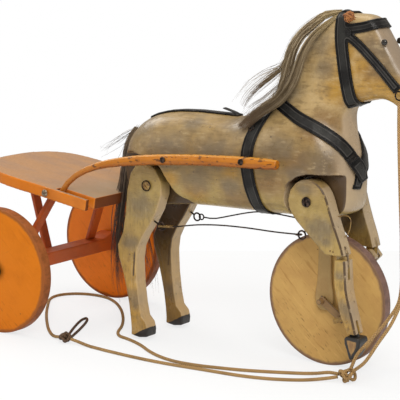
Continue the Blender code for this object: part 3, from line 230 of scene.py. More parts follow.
def carved(nodes, cell, passes, keep=0.0035, border=0.0):
    """A fine, softened copy of one solid, or of several grown together.

    Facets are smoothed away and true edges are kept a little rounded. It carries how worn a place is by its
    convexity (wear), how dirty a hollow is (cavity), and its distance from a true edge (rim). A border lifts
    the rim of a strap by a fraction of a millimetre.
    """
    nodes = [nodes] if isinstance(nodes, str) else nodes
    bodies = [merged(node) for node in nodes]
    skins = [BVHTree.FromBMesh(body) for body in bodies]
    edges = []
    for index, body in enumerate(bodies):
        others = [skin for k, skin in enumerate(skins) if k != index]
        edges += [p for p in sharp_points(body)
                  if all((skin.find_nearest(p)[3] or 1.0) > JOINT_SEAM for skin in others)]
    body = bodies[0]
    for other in bodies[1:]:
        part = bpy.data.meshes.new("part")
        other.to_mesh(part)
        body.from_mesh(part)
        other.free()
    obj = object_from(nodes[0] + "_look", body)
    remesh = obj.modifiers.new("cells", "REMESH")
    remesh.mode = "VOXEL"
    remesh.voxel_size = cell
    bake_modifiers(obj)
    mesh = obj.data
    points = read_points(mesh)
    pairs = np.empty(len(mesh.edges) * 2, dtype=np.int64)
    mesh.edges.foreach_get("vertices", pairs)
    a, b = pairs.reshape(-1, 2).T
    count = (np.bincount(a, minlength=len(points)) + np.bincount(b, minlength=len(points))).reshape(-1, 1)
    rim = nearest(edges, points)
    free = np.clip((rim - cell) / keep, 0.0, 1.0).reshape(-1, 1)
    for index in range(passes):
        weight = 0.5 if index < SOFTENED_WHOLE else 0.5 * free
        points = points + weight * (neighbour_mean(points, a, b, count) - points)
    mesh.vertices.foreach_set("co", points.ravel())
    mesh.update()
    normals = read_points(mesh, normals=True)
    bend = -((neighbour_mean(points, a, b, count) - points) * normals).sum(1) / cell ** 2
    for _ in range(2):
        bend = 0.5 * bend + 0.5 * neighbour_mean(bend.reshape(-1, 1), a, b, count).ravel()
    if border:
        lift = BORDER_LIFT * np.exp(-((rim - border * 0.6) / (border * 0.35)) ** 2)
        mesh.vertices.foreach_set("co", (points + normals * lift.reshape(-1, 1)).ravel())
        mesh.update()
    put_attribute(mesh, "wear", np.clip((bend - WEAR_BENDS[0]) / WEAR_BENDS[1], 0, 1))
    put_attribute(mesh, "cavity", np.clip((-bend - CAVITY_BENDS[0]) / CAVITY_BENDS[1], 0, 1))
    put_attribute(mesh, "rim", np.clip(rim, 0, 0.02))
    return obj


def smooth_path(knots, count):
    """Points at even steps along a smooth curve through the knots (centripetal Catmull-Rom)."""
    knots = [Vector(k) for k in knots]
    ends = [2 * knots[0] - knots[1], *knots, 2 * knots[-1] - knots[-2]]
    fine = []
    for a, b, c, d in zip(ends, ends[1:], ends[2:], ends[3:]):
        t = [0.0]
        for p, q in ((a, b), (b, c), (c, d)):
            t.append(t[-1] + max((q - p).length, 1e-9) ** 0.5)
        for step in range(12):
            u = t[1] + (t[2] - t[1]) * step / 12
            a1 = (t[1] - u) / (t[1] - t[0]) * a + (u - t[0]) / (t[1] - t[0]) * b
            a2 = (t[2] - u) / (t[2] - t[1]) * b + (u - t[1]) / (t[2] - t[1]) * c
            a3 = (t[3] - u) / (t[3] - t[2]) * c + (u - t[2]) / (t[3] - t[2]) * d
            b1 = (t[2] - u) / (t[2] - t[0]) * a1 + (u - t[0]) / (t[2] - t[0]) * a2
            b2 = (t[3] - u) / (t[3] - t[1]) * a2 + (u - t[1]) / (t[3] - t[1]) * a3
            fine.append((t[2] - u) / (t[2] - t[1]) * b1 + (u - t[1]) / (t[2] - t[1]) * b2)
    fine.append(knots[-1])
    run = np.array([p[:] for p in fine])
    along = np.concatenate([[0.0], np.cumsum(np.linalg.norm(np.diff(run, axis=0), axis=1))])
    steps = np.linspace(0.0, along[-1], count)
    return np.column_stack([np.interp(steps, along, run[:, i]) for i in range(3)])


def path_length(path):
    """How long a line of points is."""
    return float(np.linalg.norm(np.diff(path, axis=0), axis=1).sum())


def sweep(name, path, radius_at, sides, closed=False):
    """A tube along a path, with a UV map in turns and metres. radius_at(angle, along) gives its radius."""
    path = np.asarray(path, float)
    count = len(path)
    along = np.concatenate([[0.0], np.cumsum(np.linalg.norm(np.diff(path, axis=0), axis=1))])
    tangents = np.gradient(path, axis=0)
    if closed:
        tangents = np.roll(path, -1, 0) - np.roll(path, 1, 0)
    tangents /= np.linalg.norm(tangents, axis=1, keepdims=True)
    side = np.cross(tangents[0], (0.0, 0.0, 1.0))
    if np.linalg.norm(side) < 0.1:
        side = np.cross(tangents[0], (0.0, 1.0, 0.0))
    frames = []
    for tangent in tangents:
        side = side - tangent * side.dot(tangent)
        side /= np.linalg.norm(side)
        frames.append((side.copy(), np.cross(tangent, side)))
    twist = 0.0
    if closed:
        last = frames[-1][0] - tangents[0] * frames[-1][0].dot(tangents[0])
        twist = math.atan2(last.dot(frames[0][1]), last.dot(frames[0][0]))
    body = bmesh.new()
    uv = body.loops.layers.uv.new("Cord")
    rings = []
    for index in range(count):
        ring = []
        for k in range(sides):
            angle = 2 * math.pi * k / sides
            turned = angle - twist * index / max(count, 1)
            out = math.cos(turned) * frames[index][0] + math.sin(turned) * frames[index][1]
            ring.append(body.verts.new(path[index] + out * radius_at(angle, along[index])))
        rings.append(ring)
    for index in range(count if closed else count - 1):
        after = (index + 1) % count
        for k in range(sides):
            j = (k + 1) % sides
            face = body.faces.new((rings[index][k], rings[index][j], rings[after][j], rings[after][k]))
            far = along[after] if after else along[index] + 0.001
            places = ((k, along[index]), (k + 1, along[index]), (k + 1, far), (k, far))
            for loop, (turned, metres) in zip(face.loops, places):
                loop[uv].uv = (turned / sides, metres)
    if not closed:
        body.faces.new(list(reversed(rings[0])))
        body.faces.new(rings[-1])
    bmesh.ops.recalc_face_normals(body, faces=body.faces)
    return object_from(name, body)


def lathe(name, profile, place, axis, steps, closed=False):
    """A turned piece.

    The profile's points are (radius, height along the axis), from the foot's middle to the top's, or all the
    way round the section of a closed ring.
    """
    body = bmesh.new()
    turn = Vector((0, 0, 1)).rotation_difference(Vector(axis)).to_matrix()
    place = Vector(place)
    rings = []
    for radius, height in profile:
        angles = [0.0] if radius < 1e-7 else [2 * math.pi * k / steps for k in range(steps)]
        around = [Vector((radius * math.cos(a), radius * math.sin(a), height)) for a in angles]
        rings.append([body.verts.new(place + turn @ point) for point in around])
    for low, high in zip(rings, rings[1:] + rings[:1] if closed else rings[1:]):
        for k in range(steps):
            j = (k + 1) % steps
            corners = [low[k % len(low)], low[j % len(low)], high[j % len(high)], high[k % len(high)]]
            corners = [v for i, v in enumerate(corners) if v not in corners[:i]]
            if len(corners) > 2:
                body.faces.new(corners)
    bmesh.ops.recalc_face_normals(body, faces=body.faces)
    return object_from(name, body)


def joined(name, objects):
    """Several pieces as one mesh."""
    body = bmesh.new()
    for obj in objects:
        body.from_mesh(obj.data)
        bpy.data.objects.remove(obj, do_unlink=True)
    return object_from(name, body)


# Node trees

def add(tree, kind, inputs=(), **settings):
    """Add a node, apply its settings, then set or link its inputs by name or number."""
    made = tree.nodes.new(kind)
    for key, value in settings.items():
        setattr(made, key, value)
    for key, value in dict(inputs).items():
        if isinstance(value, bpy.types.NodeSocket):
            tree.links.new(value, made.inputs[key])
        else:
            made.inputs[key].default_value = value
    return made


def mix(tree, factor, a, b):
    """Two colours mixed."""
    a, b = (c if isinstance(c, bpy.types.NodeSocket) else (*c, 1.0)[:4] for c in (a, b))
    return add(tree, "ShaderNodeMix", {0: factor, 6: a, 7: b}, data_type="RGBA").outputs[2]


def calc(tree, way, a, b=0.0, clamp=False):
    """One step of arithmetic."""
    return add(tree, "ShaderNodeMath", {0: a, 1: b}, operation=way, use_clamp=clamp).outputs[0]


def times(tree, *factors):
    """Product of several masks."""
    total = factors[0]
    for factor in factors[1:]:
        total = calc(tree, "MULTIPLY", total, factor)
    return total


def fade(tree, value, low, high, out_low=0.0, out_high=1.0):
    """A smooth step of a value between two levels."""
    inputs = {"Value": value, "From Min": low, "From Max": high, "To Min": out_low, "To Max": out_high}
    return add(tree, "ShaderNodeMapRange", inputs, interpolation_type="SMOOTHSTEP").outputs[0]


def noise(tree, where, scale, detail=3.0, roughness=0.5, distortion=0.0):
    """Cloudy noise around 0.5."""
    inputs = {"Vector": where, "Scale": scale, "Detail": detail, "Roughness": roughness,
              "Distortion": distortion}
    return add(tree, "ShaderNodeTexNoise", inputs).outputs[0]


def place(tree, where, scale=(1, 1, 1), turn=(0, 0, 0), move=(0, 0, 0)):
    """Coordinates stretched, then turned, then moved."""
    inputs = {"Vector": where, "Location": move, "Rotation": turn, "Scale": scale}
    return add(tree, "ShaderNodeMapping", inputs).outputs[0]


def attribute(tree, name):
    """A value that a piece carries at its vertices."""
    return add(tree, "ShaderNodeAttribute", attribute_name=name).outputs["Fac"]


def split(tree, vector):
    """A vector's X, Y and Z."""
    return add(tree, "ShaderNodeSeparateXYZ", {0: vector}).outputs


def facing_way(tree):
    """X, Y and Z of the way that the surface faces."""
    return split(tree, add(tree, "ShaderNodeNewGeometry").outputs["Normal"])


def scaled(colour, *factors):
    """A colour made darker or lighter, by one factor or by one for each channel."""
    factors = factors if len(factors) == 3 else factors * 3
    return tuple(min(1.0, c * f) for c, f in zip(colour, factors))


def shader_group(name, inputs, outputs):
    """A new shader group with named sockets. Inputs with no default are vectors."""
    tree = bpy.data.node_groups.new(name, "ShaderNodeTree")
    for label, default in inputs:
        kind = "NodeSocketVector" if default is None else "NodeSocketFloat"
        socket = tree.interface.new_socket(label, in_out="INPUT", socket_type=kind)
        if default is not None:
            socket.default_value = default
    for label in outputs:
        tree.interface.new_socket(label, in_out="OUTPUT", socket_type="NodeSocketFloat")
    return tree, tree.nodes.new("NodeGroupInput").outputs, tree.nodes.new("NodeGroupOutput").inputs


def use(tree, name, inputs):
    """A shader group placed in a material, with its own values."""
    return add(tree, "ShaderNodeGroup", inputs, node_tree=bpy.data.node_groups[name]).outputs


def new_material(name):
    """The node tree and the shader of a new material."""
    made = bpy.data.materials.new(name)
    made.use_nodes = True
    return made.node_tree, made.node_tree.nodes["Principled BSDF"]


def object_coords(tree):
    """Coordinates in metres that stay on the piece."""
    return add(tree, "ShaderNodeTexCoord").outputs["Object"]


def finish_shader(tree, shader, colour, roughness, height=None, depth=0.0004, metallic=None):
    """Link colour, roughness and relief to a material's shader."""
    tree.links.new(colour, shader.inputs["Base Color"])
    for value, name in ((roughness, "Roughness"), (metallic, "Metallic")):
        if isinstance(value, bpy.types.NodeSocket):
            tree.links.new(value, shader.inputs[name])
        elif value is not None:
            shader.inputs[name].default_value = value
    if height is not None:
        bump = add(tree, "ShaderNodeBump", {"Height": height, "Distance": depth, "Strength": 1.0})
        tree.links.new(bump.outputs["Normal"], shader.inputs["Normal"])


def build_shared_groups():
    """Effects that several finishes share: edge wear, brush marks, wood grain, specks and dapples."""
    tree, ins, outs = shader_group("Edge Wear", [("Vector", None), ("Amount", 0.5), ("Scale", 90.0)],
                                   ["Bare", "Grime"])
    patches = noise(tree, ins["Vector"], ins["Scale"], 4.0, 0.6)
    ragged = times(tree, calc(tree, "SUBTRACT", patches, 0.5), 1.3)
    level = calc(tree, "ADD", attribute(tree, "wear"), ragged)
    start = calc(tree, "SUBTRACT", 1.0, ins["Amount"])
    tree.links.new(fade(tree, level, start, calc(tree, "ADD", start, 0.14)), outs["Bare"])
    grime = calc(tree, "MULTIPLY", attribute(tree, "cavity"), calc(tree, "ADD", patches, 0.45), clamp=True)
    tree.links.new(grime, outs["Grime"])

    tree, ins, outs = shader_group("Brush Marks", [("Vector", None), ("Fineness", 60.0)], ["Value"])
    slanted = place(tree, ins["Vector"], (1.0, 5.0, 5.0), (0.0, 0.22, 0.0))
    upright = place(tree, ins["Vector"], (5.0, 5.0, 0.9), (0.0, 0.12, 0.0))
    on_legs = fade(tree, split(tree, ins["Vector"])["Z"], 0.27, 0.22)
    way = add(tree, "ShaderNodeMix", {0: on_legs, 4: slanted, 5: upright}, data_type="VECTOR").outputs[1]
    bristles = noise(tree, way, ins["Fineness"], 4.0, 0.65, 0.25)
    blotches = noise(tree, ins["Vector"], times(tree, ins["Fineness"], 1.6), 3.0, 0.6)
    tree.links.new(calc(tree, "ADD", times(tree, bristles, 0.6), times(tree, blotches, 0.4)), outs["Value"])

    tree, ins, outs = shader_group("Wood Grain", [("Vector", None), ("Lines", 120.0), ("Waviness", 3.0)],
                                   ["Lines", "Fibre"])
    inputs = {"Vector": ins["Vector"], "Scale": ins["Lines"], "Distortion": ins["Waviness"], "Detail": 3.0,
              "Detail Scale": 0.6, "Detail Roughness": 0.6}
    bands = add(tree, "ShaderNodeTexWave", inputs, bands_direction="Y")
    tree.links.new(fade(tree, bands.outputs["Fac"], 0.25, 0.95), outs["Lines"])
    tree.links.new(noise(tree, place(tree, ins["Vector"], (1.0, 14.0, 14.0)), 75.0, 4.0, 0.7), outs["Fibre"])

    tree, ins, outs = shader_group("Specks", [("Vector", None), ("Scale", 160.0), ("Amount", 0.2)], ["Mask"])
    cells = add(tree, "ShaderNodeTexVoronoi", {"Vector": ins["Vector"], "Scale": ins["Scale"]})
    chosen = add(tree, "ShaderNodeSeparateColor", {0: cells.outputs["Color"]}).outputs[0]
    size = times(tree, calc(tree, "SUBTRACT", ins["Amount"], chosen), 0.9)
    inside = calc(tree, "SUBTRACT", size, cells.outputs["Distance"])
    tree.links.new(fade(tree, inside, 0.0, 0.06), outs["Mask"])

    tree, ins, outs = shader_group("Dapple", [("Vector", None), ("Centre", None), ("Radius", 0.02)], ["Mask"])
    shift = ins["Vector"]
    for way, other in (("SUBTRACT", ins["Centre"]), ("MULTIPLY", (0.75, 0.35, 1.1))):
        shift = add(tree, "ShaderNodeVectorMath", {0: shift, 1: other}, operation=way).outputs[0]
    distance = add(tree, "ShaderNodeVectorMath", {0: shift}, operation="LENGTH").outputs["Value"]
    rough_edge = times(tree, calc(tree, "SUBTRACT", noise(tree, ins["Vector"], 70.0), 0.5), 1.1)
    share = calc(tree, "ADD", calc(tree, "DIVIDE", distance, ins["Radius"]), rough_edge)
    tree.links.new(fade(tree, share, 1.25, 0.15), outs["Mask"])


# Finishes

# Where the smudged dapples lie on the right side, with their radius; the left side has the same ones
DAPPLES = (
    ((-0.080, -0.045, 0.338), 0.024), ((-0.014, -0.062, 0.306), 0.034), ((0.067, -0.062, 0.306), 0.034),
    ((0.181, -0.060, 0.322), 0.028), ((0.249, -0.045, 0.305), 0.030), ((0.217, -0.058, 0.287), 0.022),
    ((0.038, -0.062, 0.262), 0.028), ((0.100, -0.062, 0.262), 0.018), ((0.098, -0.045, 0.353), 0.028),
    ((0.018, -0.050, 0.345), 0.018), ((0.235, -0.030, 0.438), 0.020), ((0.214, -0.015, 0.474), 0.030),
    ((0.326, -0.030, 0.468), 0.028), ((0.346, -0.025, 0.446), 0.030), ((0.344, -0.015, 0.490), 0.020),
    ((0.252, -0.058, 0.212), 0.026), ((0.223, -0.058, 0.268), 0.013), ((0.262, -0.058, 0.196), 0.011),
    ((-0.071, -0.058, 0.214), 0.028), ((-0.089, -0.058, 0.153), 0.017), ((-0.084, -0.058, 0.063), 0.020),
    ((0.298, -0.058, 0.100), 0.022), ((0.285, -0.058, 0.150), 0.010), ((0.180, -0.040, 0.400), 0.022),
)
# Golden and brown patches of the old varnish
GOLDEN = (
    ((0.256, -0.034, 0.408), 0.026), ((0.262, -0.034, 0.436), 0.027), ((0.264, -0.034, 0.464), 0.023),
    ((0.328, -0.026, 0.414), 0.046), ((0.292, -0.030, 0.405), 0.030), ((0.300, -0.030, 0.445), 0.022),
    ((0.035, -0.060, 0.245), 0.022), ((0.100, -0.058, 0.283), 0.016), ((-0.012, -0.060, 0.262), 0.016),
)
BROWN = (
    ((0.215, -0.050, 0.303), 0.030), ((0.262, -0.045, 0.300), 0.030), ((0.168, -0.058, 0.270), 0.026),
    ((0.245, -0.034, 0.365), 0.026), ((0.110, -0.058, 0.240), 0.030), ((-0.120, -0.030, 0.285), 0.030),
    ((0.282, -0.030, 0.392), 0.020), ((-0.045, -0.058, 0.285), 0.020), ((0.340, -0.028, 0.474), 0.046),
    ((0.318, -0.028, 0.436), 0.022), ((0.236, -0.040, 0.350), 0.022),
)
# The paint's colour by height: gold at the feet, olive on the legs, cream on the back, olive on the neck
COAT = (
    (0.0, (0.44, 0.250, 0.050)), (0.09, (0.47, 0.275, 0.055)), (0.16, (0.40, 0.265, 0.075)),
    (0.235, (0.385, 0.275, 0.085)), (0.275, (0.310, 0.200, 0.062)), (0.315, (0.265, 0.178, 0.072)),
    (0.36, (0.385, 0.265, 0.115)), (0.405, (0.520, 0.370, 0.175)), (0.46, (0.520, 0.370, 0.180)),
    (0.50, (0.430, 0.310, 0.150)),
)


def mirrored_coords(tree, where):
    """Coordinates that are the same on the horse's two sides."""
    parts = split(tree, where)
    near = times(tree, calc(tree, "ABSOLUTE", parts["Y"]), -1.0)
    return add(tree, "ShaderNodeCombineXYZ", {"X": parts["X"], "Y": near, "Z": parts["Z"]}).outputs[0]


def spots(tree, where, places):
    """One mask for a list of soft round places."""
    total = None
    for centre, radius in places:
        mask = use(tree, "Dapple", {"Vector": where, "Centre": centre, "Radius": radius})["Mask"]
        total = mask if total is None else calc(tree, "MAXIMUM", total, mask)
    return total


def by_height(tree, height, stops):
    """A colour that changes with height, given in metres."""
    tall = 0.6
    ramp = add(tree, "ShaderNodeValToRGB", {0: calc(tree, "DIVIDE", height, tall)})
    while len(ramp.color_ramp.elements) < len(stops):
        ramp.color_ramp.elements.new(0.5)
    for element, (level, colour) in zip(ramp.color_ramp.elements, stops):
        element.position, element.color = level / tall, (*colour, 1.0)
    return ramp.outputs[0]


def horse_paint(colours):
    """Yellowed cream paint over wood: soft dapples, faint brush marks, dark joints with painted shade in the
    leg slots, painted highlights on faces that look forward, and black rear hooves.
    """
    tree, shader = new_material("horse_paint")
    where = object_coords(tree)
    parts, facing = split(tree, where), facing_way(tree)
    mirrored = mirrored_coords(tree, where)
    cloud = noise(tree, where, 16.0, 4.0, 0.6, 0.3)
    patch = noise(tree, place(tree, where, move=(3.1, 1.7, 0.4)), 38.0, 4.0, 0.6)
    strokes = use(tree, "Brush Marks", {"Vector": where, "Fineness": 48.0})["Value"]
    specks = use(tree, "Specks", {"Vector": where, "Scale": 120.0, "Amount": 0.24})["Mask"]
    wear = use(tree, "Edge Wear", {"Vector": where, "Amount": 0.42, "Scale": 120.0})
    # Painted highlight: faces of the chest and front legs that look forward are painted lighter, as if lit
    # from the front.
    breast_highlight = times(tree, fade(tree, facing["X"], 0.55, 0.85), fade(tree, parts["X"], 0.14, 0.18),
                   fade(tree, parts["Z"], 0.40, 0.36))
    # Painted highlight: the rear legs' forward faces below the body are painted lighter the same way.
    shin_highlight = times(tree, fade(tree, facing["X"], 0.40, 0.75), fade(tree, parts["X"], 0.02, 0.00),
                  fade(tree, parts["Z"], 0.26, 0.23))
    face = times(tree, fade(tree, facing["X"], 0.30, 0.62), fade(tree, parts["Z"], 0.40, 0.42),
                 fade(tree, parts["X"], 0.27, 0.30))
    colour = by_height(tree, parts["Z"], COAT)
    for mask, paint in (
            (fade(tree, cloud, 0.46, 0.70, 0.0, 0.55), colours.ochre),
            (fade(tree, cloud, 0.46, 0.28, 0.0, 0.50), colours.cream),
            (times(tree, spots(tree, mirrored, GOLDEN), 0.90), (0.400, 0.215, 0.026)),
            (times(tree, spots(tree, mirrored, BROWN), 0.66), (0.170, 0.085, 0.026)),
            (times(tree, spots(tree, mirrored, DAPPLES), 0.68), colours.dapple),
            (fade(tree, patch, 0.50, 0.74, 0.0, 0.55), (0.165, 0.105, 0.042)),
            (fade(tree, strokes, 0.50, 0.62, 0.0, 0.45), (0.140, 0.090, 0.034)),
            (fade(tree, strokes, 0.47, 0.36, 0.0, 0.28), (0.560, 0.430, 0.250)),
            (times(tree, breast_highlight, 0.62), (0.480, 0.375, 0.265)),
            (times(tree, shin_highlight, 0.65), (0.540, 0.385, 0.215)),
            (times(tree, face, 0.75), (0.290, 0.225, 0.165)),
            (times(tree, wear["Bare"], 0.55), colours.bare),
            (times(tree, specks, 0.65), (0.075, 0.048, 0.030)),
            # Dark joints: dark wood with painted shade in the slots, the cracks, and dirt in hollows
            (joint_dirt_and_shade(tree, where, parts, facing, wear["Grime"]), (0.052, 0.027, 0.013)),
            (rear_hoof_mask(tree, where, parts), (0.022, 0.020, 0.019))):
        colour = mix(tree, mask, colour, paint)
    height = calc(tree, "SUBTRACT", strokes, times(tree, specks, 0.5))
    finish_shader(tree, shader, colour, fade(tree, patch, 0.3, 0.7, 0.24, 0.40), height, 0.00022)
    shader.inputs["Specular IOR Level"].default_value = 0.50


def joint_dirt_and_shade(tree, where, parts, facing, grime):
    """Dark bare wood and painted shade in the leg slots and on the legs' inner faces, painted shade on the
    faces that look down beside the body's middle block, dirt in hollows, and the front legs' cracks and the
    right rear leg's.
    """
    side = calc(tree, "ABSOLUTE", parts["Y"])
    flat_side = fade(tree, calc(tree, "ABSOLUTE", facing["Y"]), 0.50, 0.72)
    in_front = fade(tree, parts["X"], 0.19, 0.20)
    behind = calc(tree, "SUBTRACT", 1.0, in_front)
    lower = calc(tree, "ADD", times(tree, in_front, fade(tree, parts["Z"], 0.232, 0.222), 0.42),
                 times(tree, behind, fade(tree, parts["Z"], 0.175, 0.060), 0.40))
    # Painted shade, partly dark bare wood: the slots' walls and the legs' inner faces are painted near
    # black-brown, less so lower down.
    inner = times(tree, fade(tree, side, 0.0372, 0.0350), flat_side, fade(tree, parts["Z"], 0.2905, 0.2880),
                  calc(tree, "SUBTRACT", 0.92, lower))
    # Painted shade: faces that look down, beside the body's middle block and at the slots' tops, are painted
    # dark.
    ceiling_shade = times(tree, fade(tree, facing["Z"], -0.35, -0.70), fade(tree, side, 0.030, 0.033),
                    fade(tree, parts["Z"], 0.234, 0.242))
    ragged = noise(tree, where, 130.0, 3.0, 0.6)
    edge = fade(tree, times(tree, facing["X"], calc(tree, "ABSOLUTE", facing["Y"])), 0.06, 0.18)
    crack = times(tree, edge, in_front, fade(tree, parts["Z"], 0.284, 0.276),
                  fade(tree, parts["Z"], 0.050, 0.060), fade(tree, side, 0.040, 0.048),
                  fade(tree, ragged, 0.30, 0.46), 0.90)
    # The right rear leg's crack is a thin line that leans a little forward as it rises
    line = calc(tree, "ADD", times(tree, parts["Z"], 0.070), -0.0921)
    off_line = calc(tree, "ABSOLUTE", calc(tree, "SUBTRACT", parts["X"], line))
    off_line = calc(tree, "ADD", off_line, times(tree, ragged, 0.0012))
    rear_crack = times(tree, fade(tree, off_line, 0.0026, 0.0017), fade(tree, parts["Z"], 0.0987, 0.1027),
                       fade(tree, parts["Z"], 0.1422, 0.1362), fade(tree, facing["Y"], -0.5, -0.8), 0.9)
    # The darkest of the painted shade, the cracks and the dirt in hollows.
    darkening = inner
    for mask in (ceiling_shade, crack, rear_crack, times(tree, grime, 0.85)):
        darkening = calc(tree, "MAXIMUM", darkening, mask)
    return darkening


def rear_hoof_mask(tree, where, parts):
    """Black paint below a slanted line near the floor, on the rear legs only."""
    line = calc(tree, "ADD", times(tree, calc(tree, "ADD", parts["X"], ORIGIN_X - 0.196), 0.533), 0.0045)
    jitter = times(tree, calc(tree, "SUBTRACT", noise(tree, where, 160.0, 2.0), 0.5), 0.003)
    below = fade(tree, calc(tree, "ADD", calc(tree, "SUBTRACT", parts["Z"], line), jitter), 0.0006, -0.0006)
    return times(tree, below, fade(tree, parts["X"], 0.02, 0.0))


def painted_wood(name, colour, under, darkening, lines=90.0, turn=(0, 0, 0), roughness=0.36, clouds=0.45):
    """Old glossy paint with grain telegraphing through it, hairline cracks, dirt and rubbed edges."""
    tree, shader = new_material(name)
    where = object_coords(tree)
    along = place(tree, where, turn=turn)
    grain = use(tree, "Wood Grain", {"Vector": along, "Lines": lines, "Waviness": 4.0})
    cloud = noise(tree, where, 28.0, 5.0, 0.6)
    scratches = noise(tree, place(tree, along, (1.0, 22.0, 22.0)), 26.0, 4.0, 0.75, 0.6)
    wear = use(tree, "Edge Wear", {"Vector": where, "Amount": 0.4, "Scale": 110.0})
    specks = use(tree, "Specks", {"Vector": where, "Scale": 110.0, "Amount": 0.16})["Mask"]
    tint = colour
    for mask, paint in (
            (fade(tree, cloud, 0.42, 0.72, 0.0, clouds), scaled(colour, 0.66, 0.55, 0.55)),
            (fade(tree, grain["Lines"], 0.4, 1.0, 0.0, 0.12), under),
            (fade(tree, scratches, 0.62, 0.72, 0.0, darkening), (0.075, 0.035, 0.015)),
            (times(tree, wear["Bare"], 0.8), under),
            (times(tree, wear["Grime"], 0.9), (0.05, 0.025, 0.012)),
            (times(tree, specks, 0.7), (0.05, 0.028, 0.018))):
        tint = mix(tree, mask, tint, paint)
    height = calc(tree, "ADD", times(tree, grain["Fibre"], 0.6), times(tree, specks, -1.0))
    rough = fade(tree, cloud, 0.3, 0.7, roughness, roughness + 0.16)
    finish_shader(tree, shader, tint, rough, height, 0.00025)
    shader.inputs["Specular IOR Level"].default_value = 0.30
    return tree, shader, where, tint


def shaft_paint():
    """Glossy varnish over the bent shafts: a golden painted highlight on the faces that look up, deep orange
    painted shade on those that look down, and nicks down to dark wood.
    """
    tree, shader, where, tint = painted_wood("orange_paint", (0.47, 0.160, 0.010), (0.30, 0.13, 0.045),
                                             darkening=0.85, lines=50.0, roughness=0.22)
    up = facing_way(tree)["Z"]
    nicks = noise(tree, place(tree, where, (0.45, 1.0, 1.0)), 210.0, 2.0, 0.5)
    for mask, paint in (
            # Painted highlight: faces that look up turn golden. Painted shade: faces that look down turn deep
            # orange.
            (fade(tree, up, 0.55, 0.95, 0.0, 0.60), (0.66, 0.310, 0.045)),
            (fade(tree, up, 0.05, -0.75, 0.0, 0.65), (0.27, 0.062, 0.006)),
            (fade(tree, nicks, 0.595, 0.63, 0.0, 0.80), (0.085, 0.030, 0.010))):
        tint = mix(tree, mask, tint, paint)
    tree.links.new(tint, shader.inputs["Base Color"])


def wheel_paint(name, colour, under, hub, rim_colour, radius, streaks=0.25, clouds=0.25):
    """Wheel paint: brush streaks one way, dirt round the hub and the rim, a darker tread; on the front wheel
    the dark ring round the hub also serves as painted shade of the fork and leg.
    """
    tree, shader, where, tint = painted_wood(name, colour, under, darkening=0.22, lines=70.0, turn=(0.0, 0.6, 0.0),
                                             clouds=clouds)
    parts = split(tree, where)
    across = calc(tree, "SUBTRACT", parts["X"], hub[0])
    up = calc(tree, "SUBTRACT", parts["Z"], hub[1])
    reach = calc(tree, "SQRT", calc(tree, "ADD", times(tree, across, across), times(tree, up, up)))
    slanted = place(tree, place(tree, where, turn=(0.0, 0.80, 0.0)), (5.0, 1.0, 0.6))
    brush = noise(tree, slanted, 32.0, 4.0, 0.7, 0.3)
    scrapes = noise(tree, place(tree, slanted, move=(5.0, 2.0, 7.0)), 95.0, 3.0, 0.6)
    low = fade(tree, calc(tree, "ADD", up, times(tree, across, 0.4)), -0.025, -0.055, 0.0, streaks * 1.5)
    cloud = noise(tree, where, 60.0, 4.0, 0.6)
    rim_reach = calc(tree, "ADD", reach, times(tree, cloud, 0.006))
    hub_reach = calc(tree, "ADD", reach, times(tree, cloud, 0.014))
    marks = noise(tree, place(tree, where, (1.0, 0.6, 1.0)), 70.0, 4.0, 0.7)
    tread = mix(tree, fade(tree, marks, 0.4, 0.6), rim_colour, scaled(rim_colour, 1.45))
    fresh = tuple(min(1.0, c * 1.22 + 0.02) for c in colour)
    for mask, paint in (
            (fade(tree, brush, 0.56, 0.70, 0.0, streaks), scaled(colour, 0.62, 0.50, 0.40)),
            (fade(tree, brush, 0.44, 0.32, 0.0, streaks * 0.8), fresh),
            (times(tree, fade(tree, scrapes, 0.60, 0.68), low), scaled(colour, 0.35)),
            (times(tree, fade(tree, rim_reach, radius - 0.0005, radius + 0.0045), 0.85), rim_colour),
            # Dirt round the hub, painted dark; on the front wheel it also serves as painted shade where the
            # fork, crank and leg shadow the wheel.
            (fade(tree, hub_reach, 0.030, 0.015, 0.0, 0.85), scaled(colour, 0.30)),
            (fade(tree, calc(tree, "ABSOLUTE", facing_way(tree)["Y"]), 0.6, 0.3), tread)):
        tint = mix(tree, mask, tint, paint)
    tree.links.new(tint, shader.inputs["Base Color"])
    shader.inputs["Specular IOR Level"].default_value = 0.16


